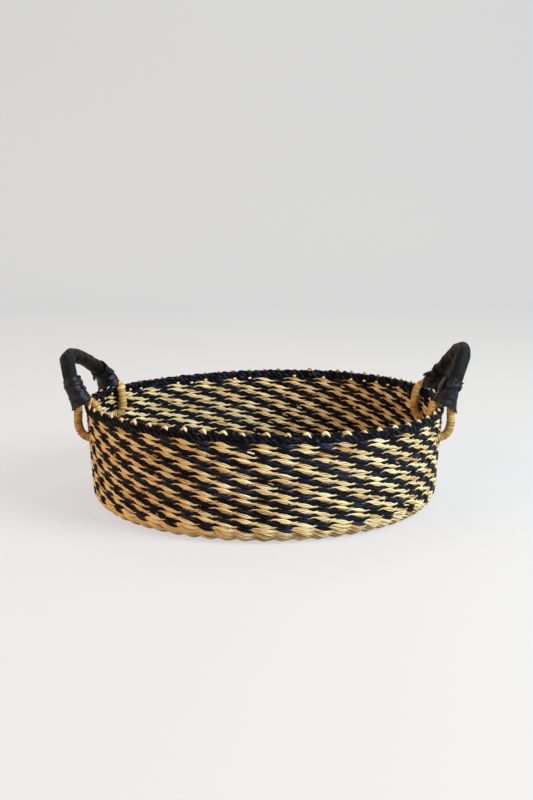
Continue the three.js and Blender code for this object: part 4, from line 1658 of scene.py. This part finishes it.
@dataclass
class HandleEnd:
    """One end of a handle: a wound loop through the wall, and a leather cuff over it with its tie.

    Angles are in degrees. The swing is inwards and outwards, the inner leg's knots are steps outwards and up
    from the loop's inside at the rim, and the mouth's slants and inward reaches are those of a near and of a
    far cuff. Grass, binding and tails are given by half of their thickness.
    """

    shop: Shop
    arch: Arch
    high: bool
    leg_radius: float = 4.592
    bulge: float = 0.3
    swing: Span = (6.0, 4.0)
    inner_leg: tuple[Span, ...] = ((0.0, -14.0), (1.0, -6.0), (3.0, 1.0), (8.0, 5.0), (14.5, 8.5))
    loop_points: int = 500
    grass_half: float = 0.8
    grass_cover: float = 0.53
    grass_past: float = 6.0
    turn_points: int = 14
    turn_drift: float = 0.55
    binding_turns: Triple = (0.4, 1.6, 2.8)
    binding_half: float = 0.72
    slants: Span = (25.0, 10.0)
    near_drop: float = 3.0
    inward: Span = (12.0, 14.5)
    skirt_drop: float = 2.0
    length: float = 27.0
    sleeve_radius: float = 8.24
    cuff_points: int = 64
    folds: Span = (0.3, 0.9)
    top_bell: float = 0.5
    mouth_flare: float = 0.7
    lining: float = 0.12
    ragged: float = 0.55
    tie_points: int = 56
    tie_width: float = 5.0
    tie_drop: float = 6.5
    tie_slant: float = 0.028
    tail_half: float = 0.9
    loop: np.ndarray = field(init=False)
    legs: Span = field(init=False)

    def __post_init__(self) -> None:
        """Works out the loop, and what its cuff has to reach round."""
        self.loop = self.loop_line()
        self.legs = self.leg_reach()

    @property
    def end(self) -> End:
        """Which end it is, as seen from the front."""
        return self.arch.plan.ends[self.high]

    @property
    def key(self) -> tuple[Side, End]:
        """Which of the four ends of both handles it is."""
        return self.arch.plan.side, self.end

    @property
    def is_far(self) -> bool:
        """Whether it is the end further from the photographed front."""
        return self.end is End.FAR

    @property
    def mouth_normal(self) -> np.ndarray:
        """Upward direction of the cuff's slanted mouth."""
        slant = math.radians(self.slants[self.is_far])
        return np.array([math.sin(slant), 0.0, math.cos(slant)])

    @property
    def mouth_drop(self) -> float:
        """How far the cuff's mouth hangs below the foot of the arch."""
        return self.arch.plan.far_drop if self.is_far else self.near_drop

    @property
    def mouth(self) -> np.ndarray:
        """Middle of the cuff's mouth, a little below the foot of the arch."""
        return self.up_arch(0.0)[0] - np.array([0.0, 0.0, self.mouth_drop])

    def up_arch(self, run: float | np.ndarray) -> tuple[np.ndarray, np.ndarray]:
        """Points at lengths up the arch from this end, and the directions in which it rises there."""
        return self.arch.from_end(run, self.high)

    def build(self) -> None:
        """Makes and dresses the grass, the cuff and the tie."""
        name, body = f"{self.arch.side}_{self.end.value}", self.arch.body
        grass = self.winding()
        if self.key == BOUND_LEG:
            grass = join([grass, self.binding()])
        self.shop.piece(f"{name}_leg_grass", grass, WINDING_GRASS, body, (f"{name}_loop_winding",))
        self.shop.piece(f"{name}_cuff_leather", self.cuff(), CUFF_LEATHER, body, (f"{name}_cuff",))
        self.shop.piece(f"{name}_tie_leather", self.tie(), CUFF_LEATHER, body, (f"{name}_tie",))

    def loop_line(self) -> np.ndarray:
        """Centre line of the loop: down outside the wall, through its hole and up inside, with slack.

        Returns:
            The points in the handle's own directions.
        """
        arch, profile, weave = self.arch, self.arch.weave.profile, self.arch.weave
        depth = weave.loop_depth
        along = self.up_arch(0.0)[0][1]
        oblique = arch.plan.facing + weave.step * arch.plan.steps[self.high] - arch.turned
        shift = profile.flare * depth / (profile.rim_height - profile.heel_height)
        reach = (profile.half_wall + self.bulge + self.leg_radius) / math.cos(oblique) + arch.seat
        slack_in, slack_out = (depth * math.tan(math.radians(degrees)) for degrees in self.swing)
        outer, inner = shift + reach + slack_in, shift - reach - slack_out
        bend = lambda leg, turn: (leg * math.sin(turn), along, abs(leg) * (1 - math.cos(turn)))
        inset = lambda legs: self.up_arch(arch.core_inset + legs * self.leg_radius)[0]
        knots = np.array([
            inset(2), (outer, along, depth), bend(outer, math.pi / 2), bend(outer, math.pi / 4),
            (0.0, along, 0.0), bend(inner, math.pi / 4), bend(inner, math.pi / 2),
            *((inner + out, along, depth + up) for out, up in self.inner_leg), inset(3),
        ])
        return smooth_path(knots, self.loop_points)

    def below_mouth(self, past: float) -> np.ndarray:
        """The stretch of the loop up to a distance past the cuff's slanted mouth."""
        below = np.flatnonzero((self.loop - self.mouth) @ self.mouth_normal < past)
        return self.loop[below[0] : below[-1] + 1]

    def leg_reach(self) -> Span:
        """How far out and in the cuff's mouth reaches for the legs, in its slanted plane.

        Returns:
            The outward and the inward reach. The inner leg comes out past the second.
        """
        stretch = self.below_mouth(0.0)
        tangent = unit(np.gradient(stretch, axis=0))[[0, -1]]
        outward = np.cross(ALONG, self.mouth_normal)
        reach = (stretch[[0, -1]] - self.mouth) @ outward
        half = self.leg_radius / np.abs(tangent @ self.mouth_normal)
        return float(reach[0] + half[0]), float(max(reach[1] - half[1], -self.inward[self.is_far]))

    def leg_core(self) -> Patch:
        """The straw inside the winding, as a round rod along the loop that is thinner inside the cuff.

        Returns:
            The rod.
        """
        line = spread_evenly(self.loop, 90)
        above = (line - self.mouth) @ self.mouth_normal
        radius = (self.leg_radius - 1.2 * self.grass_half - 1.6 * smoothstep(above / 3.0 - 1.0))[None]
        path = self.arch.world(line)[None]
        normal = np.broadcast_to(self.arch.turn(ALONG), path.shape)
        return sweep(path, normal, radius, radius, 10, False, np.full(radius.shape, 0.3), Seed.LEG_CORE)

    def winding(self) -> Patch:
        """Flat grass wound tightly round the loop: a helix about its centre line, with uneven turns.

        A point is the loop's point plus the winding radius times the cosine of the turn in one direction
        square to the loop and its sine in the other.

        Returns:
            The grass as one open flat tube.
        """
        draw = 7 * self.high + self.arch.draw
        rng = np.random.default_rng(Seed.GRASS + draw)
        stretch = self.below_mouth(self.grass_past)
        pitch = self.arch.plan.grass_pitch
        turns = int(float(np.sum(np.linalg.norm(np.diff(stretch, axis=0), axis=1))) / pitch)
        count = turns * self.turn_points
        share = np.linspace(0, 1, count)
        line = spread_evenly(stretch, count)
        outward = np.cross(ALONG, unit(np.gradient(line, axis=0)))
        angle = TURN * turns * share + self.turn_drift * wobble(rng, (), share, 24)
        around = outward * np.cos(angle)[:, None] + ALONG * np.sin(angle)[:, None]
        radius = self.leg_radius - 0.7 * self.grass_half + 0.07 * wobble(rng, (), share, 40)
        path = self.arch.world(line + around * radius[:, None])[None]
        strip = np.repeat(rng.normal(0.5, 0.2, turns + 1), self.turn_points)[:count]
        tone = np.clip(strip + 0.1 * wobble(rng, (), share, 9), 0, 1)[None]
        width = np.full(tone.shape, self.grass_cover * pitch)
        thick = np.full(tone.shape, self.grass_half)
        normal = self.arch.turn(around)[None]
        # Painted shade on one edge of each turn, darkening the grooves between the turns.
        return sweep(path, normal, width, thick, 6, False, tone, Seed.GRASS_FIBRE + draw, 0.8)

    def binding(self) -> Patch:
        """Turns of grass round the inner leg, just under the cuff's mouth.

        Each turn is a circle square to the leg, a little wider than it.

        Returns:
            The turns as closed rings.
        """
        leg = self.below_mouth(-0.2)
        leg = leg if leg[0, 0] < leg[-1, 0] else leg[::-1]
        way = unit(leg[8] - leg[0])
        across = unit(np.cross(way, ALONG))
        angle = TURN * np.arange(40)[:, None] / 40
        out = across * np.cos(angle) + np.cross(way, across) * np.sin(angle)
        path = leg[0] + way * np.array(self.binding_turns)[:, None, None] + (self.leg_radius + 0.2) * out
        normal = self.arch.turn(np.broadcast_to(out, path.shape))
        size = np.full(path.shape[:2], self.binding_half)
        tone = np.full(size.shape, 0.9)
        return sweep(self.arch.world(path), normal, size, size, 8, True, tone, Seed.BINDING)

    def rings(self, level: np.ndarray, growth: np.ndarray) -> np.ndarray:
        """Rings of the cuff in the handle's own directions.

        A ring is an oval whose normal turns from the slanted mouth's to the arch's. Its outward reach passes
        from the outer leg to the grip, and its inward reach from the inner leg to the grip, as it settles
        onto the arch.

        Args:
            level: Places from 0 at the mouth to 1 at the top.
            growth: Distance from the fitted surface at each point, as (levels, points).

        Returns:
            The rings, as (levels, points, 3).
        """
        axis, rising = self.up_arch(self.length * level)
        settle = np.clip(level * self.length / self.arch.taper, 0, 1)
        axis = axis - np.stack([0 * settle, 0 * settle, self.mouth_drop * (1 - settle) ** 2], -1)
        normal = unit(self.mouth_normal * (1 - settle)[:, None] + rising * settle[:, None])
        along = unit(ALONG - normal * normal[:, 1:2])
        outward = np.cross(along, normal)
        fit = self.sleeve_radius + self.arch.seat
        start, end = self.legs[0] + self.arch.seat, self.legs[1] - self.arch.seat
        outer = start + (fit - start) * (1 - (1 - settle) ** 2)
        inner = end + (-fit - end) * settle * settle * (3 - 2 * settle)
        middle = axis + outward * ((outer + inner) / 2)[:, None]
        angle = TURN * np.arange(growth.shape[1]) / growth.shape[1]
        across = (outer - inner)[:, None] / 2 + growth
        return (
            middle[:, None]
            + outward[:, None] * (across * np.cos(angle))[..., None]
            + along[:, None] * ((fit + growth) * np.sin(angle))[..., None]
        )

    def cuff(self) -> Patch:
        """The leather cuff: a tapered sleeve with folds, a ragged slanted mouth and a turned top edge.

        Its growth over the fitted surface is the leather's thickness plus folds that drift round it, slow
        dents, a bell at the top edge and a flare that dies away from the mouth.

        Returns:
            The sleeve as a closed band.
        """
        rng = np.random.default_rng(Seed.CUFF + 10 * self.high + self.arch.draw)
        level = np.concatenate([[0, 0.012], np.linspace(0.04, 0.94, 34), [0.965, 0.985, 1.0]])
        rise = level[:, None]
        around = np.arange(self.cuff_points) / self.cuff_points
        fold = wobble(rng, (), around, 6) * np.sin(math.pi * rise)
        drift = np.stack([np.roll(ring, int(round(5 * place))) for ring, place in zip(fold, level)])
        dents = soften(wobble(rng, (len(level),), around, 4), 7)
        folds = self.folds[0] * drift + self.folds[1] * dents
        turned = self.top_bell * np.exp(-(((rise - 0.975) / 0.04) ** 2))
        flare = self.mouth_flare * np.exp(-rise / 0.08) * (0.6 + 0.4 * np.cos(TURN * around))
        growth = self.arch.leather + folds + turned + flare
        ragged = self.ragged * wobble(rng, (), around, 11)
        corner = self.skirt_drop * np.exp(-(((around + 0.5) % 1 - 0.5) / 0.13) ** 2)
        fall = np.exp(-rise / 0.16) * corner + np.exp(-rise / 0.1) * ragged
        fall = fall - (rise > 0.93) * 0.7 * np.roll(ragged, 7)
        drop = np.stack([0 * fall, 0 * fall, fall], -1)
        outer = self.rings(level, growth) - drop
        inner = self.rings(level, np.full(growth.shape, self.lining) + 0.5 * flare) - drop
        # Paler at the rubbed mouth and top edges, and painted light on the raised folds with painted shade in
        # the sunk ones.
        rubbed_and_lit = 0.35 + 0.3 * np.exp(-rise / 0.02) + 0.3 * (rise > 0.96) + 0.45 * folds
        return shell(self.arch.world(outer), self.arch.world(inner), np.clip(rubbed_and_lit, 0, 1))

    def tie(self) -> Patch:
        """A snug leather lace round the cuff, with cut tails that stand off it.

        Returns:
            The lace and its tails.
        """
        rng = np.random.default_rng(Seed.TIE + 10 * self.high + self.arch.draw)
        around = np.arange(self.tie_points) / self.tie_points
        centre = (self.length - self.tie_drop) / self.length
        place, stand = np.array(TIE_PROFILE).T
        level = centre + self.tie_width / 2 / self.length * place
        swell = self.arch.leather + 0.2 + stand[:, None]
        growth = swell + 0.2 * wobble(rng, (), around, 5)
        slant = self.tie_slant * np.sin(TURN * around + 1.0 + 2.0 * self.high)
        shift = (slant * self.length)[None, :, None] * self.up_arch(self.length * centre)[1]
        outer = self.rings(level, growth) + shift
        inner = self.rings(level, np.full(growth.shape, self.arch.leather - 0.5)) + shift
        # Painted light where the lace bulges out, painted shade where it sinks.
        rubbed_and_lit = np.clip(0.4 + 0.6 * (growth - swell), 0, 1)
        hoop = shell(self.arch.world(outer), self.arch.world(inner), rubbed_and_lit)
        return join([hoop, *(self.tail(tail) for tail in TAILS[self.key])])

    def tail(self, tail: Tail) -> Patch:
        """A cut end of a lace: a flat strip that leaves its cuff and curls away.

        Its angle from straight off the cuff grows evenly along it, and its path is the running sum of the
        steps in that direction.

        Args:
            tail: Where it leaves and how it curls.

        Returns:
            The strip as one open flat tube.
        """
        steps, columns = 25, 400
        ring = self.rings(np.array([tail.level]), np.full((1, columns), self.arch.leather + 0.3))[0]
        seat = ring[int(round(tail.place * columns)) % columns]
        down = -self.up_arch(self.length * tail.level)[1]
        off = seat - ring.mean(axis=0)
        off = unit(off - down * (off @ down))
        share = np.linspace(-0.12, 1, steps)
        angle = tail.start + tail.curl * share
        step = (off * np.cos(angle)[:, None] + down * np.sin(angle)[:, None]) * tail.reach / (steps - 1)
        path = seat + np.cumsum(step, axis=0) - step[0] * 3
        normal = unit(np.cross(np.gradient(path, axis=0), np.cross(off, down)))
        width = (tail.width * (1 - 0.35 * np.clip(share, 0, 1) ** 3))[None]
        thick = np.full(width.shape, self.tail_half)
        tone = np.clip(0.35 + 0.5 * share, 0, 1)[None]
        path, normal = self.arch.world(path)[None], self.arch.turn(normal)[None]
        return sweep(path, normal, width, thick, 8, False, tone, Seed.TAIL + int(100 * tail.place))


@dataclass
class Handle:
    """A swing handle: a leather grip over a straw arch, between two ends that are tied into the wall.

    The lap's slope, reach and pale band are turns round the grip over which its edge rises, dies away and is
    paler, which is rubbed wear and a painted highlight.
    """

    shop: Shop
    arch: Arch
    core_radius: float = 6.3
    rings: int = 190
    columns: int = 64
    lump: float = 1.7
    crease: float = 0.9
    creases: int = 40
    lap: float = 0.8
    lap_slope: float = 0.014
    lap_reach: float = 0.17
    lap_pale_band: float = 0.022

    def build(self) -> None:
        """Makes and dresses every piece of the handle."""
        side, body = self.arch.side, self.arch.body
        ends = [HandleEnd(self.shop, self.arch, high) for high in (False, True)]
        for end in ends:
            end.build()
        straw = join([self.core(), *(end.leg_core() for end in ends)])
        self.shop.piece(f"{side}_straw_core", straw, NATURAL_STRAW, body, (f"{side}_handle_core",))
        self.shop.piece(f"{side}_grip_leather", self.grip(), GRIP_LEATHER, body, (f"{side}_grip_sleeve",))

    @property
    def flat(self) -> np.ndarray:
        """Direction square to the plane that the arch leans in."""
        return unit(np.array([1.0, 0.0, -self.arch.slope]))

    def core(self) -> Patch:
        """The straw bundle inside the grip, along the arch without its ends.

        Returns:
            The bundle as one open rod.
        """
        arch = self.arch
        run = np.linspace(arch.core_inset, arch.lengths[-1] - arch.core_inset, 40)
        path = arch.world(arch.from_end(run, False)[0])[None]
        normal = np.broadcast_to(arch.turn(self.flat), path.shape)
        radius = np.full(path.shape[:2], self.core_radius)
        return sweep(path, normal, radius, radius, 10, False, np.full(radius.shape, 0.4), Seed.ARCH_CORE)

    def grip(self) -> Patch:
        """The leather sleeve on the arch: lumpy, creased across its bends, and lapped with a raised edge.

        The radius is the grip's plus slow lumps, less creases that run across the sleeve where it bends,
        plus a step at the lap that dies away round the sleeve.

        Returns:
            The sleeve as a closed band.
        """
        arch, rng = self.arch, np.random.default_rng(Seed.GRIP + self.arch.draw)
        inset = arch.taper + arch.leather
        line, tangent = arch.from_end(np.linspace(inset, arch.lengths[-1] - inset, self.rings), False)
        share = np.linspace(0, 1, self.rings)
        across = unit(np.cross(self.flat, tangent))
        out = np.cross(tangent, across)
        around = np.arange(self.columns) / self.columns
        lumps = self.lump * soften(wobble(rng, (self.rings,), around, 3), 23)
        bend = soften(np.linalg.norm(np.gradient(tangent, axis=0), axis=-1)[:, None], 15)
        bend = bend / bend.max()
        waver = 0.45 * wobble(rng, (), around, 3) + 1.4 * wobble(rng, (), share, 8)[:, None]
        ripple = np.sin(TURN * (share[:, None] * self.creases + waver))
        inside = 0.5 - 0.5 * np.cos(TURN * around)
        depth = -self.crease * np.clip(ripple - 0.1, 0, 1) ** 2
        crease = depth * (0.35 + 0.65 * bend * (0.35 + 0.65 * inside))
        seam = arch.plan.lap + 0.03 * wobble(rng, (), share, 7)[:, None]
        past = (around - seam + 0.5) % 1 - 0.5
        step = smoothstep(past / self.lap_slope + 0.5)
        lap = self.lap * step * np.exp(-np.clip(past, 0, None) / self.lap_reach)
        angle = TURN * around
        sheet = lambda radius: arch.world(
            line[:, None]
            + across[:, None] * (radius * np.cos(angle))[..., None]
            + out[:, None] * (radius * np.sin(angle))[..., None]
        )
        outer = sheet(arch.plan.grip_radius + lumps + crease + lap)
        inner = sheet(np.full(lap.shape, self.core_radius + arch.seat))
        # Paler along the lap's edge and on the lumps, darker in the creases: rubbed wear with a painted
        # highlight on the edge and lumps, and painted shade in the creases.
        edge = np.exp(-((past / self.lap_pale_band) ** 2))
        rubbed_and_lit = 0.3 + 0.75 * edge + 0.16 * lumps + 0.9 * crease
        return shell(outer, inner, np.clip(rubbed_and_lit, 0, 1))


@dataclass(frozen=True)
class Lamp:
    """A square soft light: its name, place and side in metres, power in watts and colour."""

    name: str
    place: Triple
    size: float
    power: float
    colour: Colour


LAMPS = (
    Lamp("key_right", (1.65, -1.0, 1.15), 1.2, 86.0, (0.7, 0.84, 1.0)),
    Lamp("fill_left", (-1.7, -1.1, 0.7), 1.5, 29.0, (1.0, 0.6, 0.32)),
    Lamp("top_back", (0.1, 1.1, 1.9), 1.4, 11.0, (0.95, 0.98, 1.0)),
)


@dataclass(frozen=True)
class Studio:
    """Plain soft studio: camera at the photograph's angle, pale paper sweep, a cool key and a warm fill."""

    shop: Shop
    eye: Triple = (2.2, -1166.0, 323.8)
    pitch: float = 10.47
    focal_pixels: float = 1050.0
    frame_height: float = 800.0
    sensor: float = 36.0
    clip: Span = (0.05, 50.0)
    lit_point: Triple = (0.0, 0.0, 0.06)
    paper_level: float = -0.4
    paper_bend: float = 900.0
    paper_depth: Span = (-4000.0, 2200.0)
    paper_top: float = 4200.0
    paper_half: float = 5000.0
    sky_colour: Colour = (0.96, 0.98, 1.0)
    sky_strength: float = 0.28

    def build(self) -> None:
        """Sets the camera, the lights, the paper and the world."""
        scene = bpy.context.scene
        scene.view_settings.view_transform = "Standard"
        lens = bpy.data.cameras.new("camera")
        lens.sensor_width = self.sensor
        lens.lens = self.focal_pixels / self.frame_height * self.sensor
        lens.clip_start, lens.clip_end = self.clip
        camera = bpy.data.objects.new("camera", lens)
        camera.location = tuple(MM * c for c in self.eye)
        camera.rotation_euler = (math.radians(90 - self.pitch), 0.0, 0.0)
        scene.collection.objects.link(camera)
        scene.camera = camera
        for lamp in LAMPS:
            self.hang(lamp)
        self.paper()
        self.sky()

    def hang(self, lamp: Lamp) -> None:
        """Hangs a lamp so that it faces the basket.

        Args:
            lamp: The lamp.
        """
        data = bpy.data.lights.new(lamp.name, "AREA")
        data.size, data.energy, data.color = lamp.size, lamp.power, lamp.colour
        made = bpy.data.objects.new(lamp.name, data)
        made.location = lamp.place
        aim = np.array(self.lit_point) - np.array(lamp.place)
        tilt = math.atan2(math.hypot(aim[0], aim[1]), -aim[2])
        made.rotation_euler = (tilt, 0.0, math.atan2(aim[1], aim[0]) - math.pi / 2)
        bpy.context.scene.collection.objects.link(made)

    def paper(self) -> None:
        """The paper: flat under the basket, then a quarter circle up into a wall, carried across the view."""
        turn = np.linspace(0, math.pi / 2, 24)
        front, back = self.paper_depth
        depth = np.concatenate([[front], back + self.paper_bend * np.sin(turn), [back + self.paper_bend]])
        bend = self.paper_level + self.paper_bend - self.paper_bend * np.cos(turn)
        height = np.concatenate([[self.paper_level], bend, [self.paper_top]])
        width = np.linspace(-self.paper_half, self.paper_half, 9)
        points = np.stack(np.broadcast_arrays(width[None, :], depth[:, None], height[:, None]), -1)
        rows, columns = points.shape[:2]
        corner = (np.arange(rows - 1)[:, None] * columns + np.arange(columns - 1)[None, :]).reshape(-1)
        face = np.stack([corner, corner + 1, corner + columns + 1, corner + columns], -1)
        flat = np.zeros(rows * columns)
        sheet = Patch(points.reshape(-1, 3), [face], flat, flat, flat, flat)
        made = self.shop.mesh("studio_paper", sheet, STUDIO_PAPER)

    def sky(self) -> None:
        """Even pale light from all round."""
        world = bpy.data.worlds.new("soft_world")
        world.use_nodes = True
        background = world.node_tree.nodes["Background"]
        background.inputs["Color"].default_value = (*self.sky_colour, 1.0)
        background.inputs["Strength"].default_value = self.sky_strength
        bpy.context.scene.world = world


def main() -> None:
    """Builds the tray in order: studio, woven body, then the two handles."""
    logging.basicConfig(level=logging.INFO, format="%(name)s %(message)s")
    shop = Shop()
    Studio(shop).build()
    weave = TwinedWeave(Profile())
    WovenBody(shop, weave).build()
    for plan in PLANS:
        Handle(shop, Arch(plan, weave)).build()
    log.info("%d triangles in all", shop.triangles)


if __name__ == "__main__":
    main()
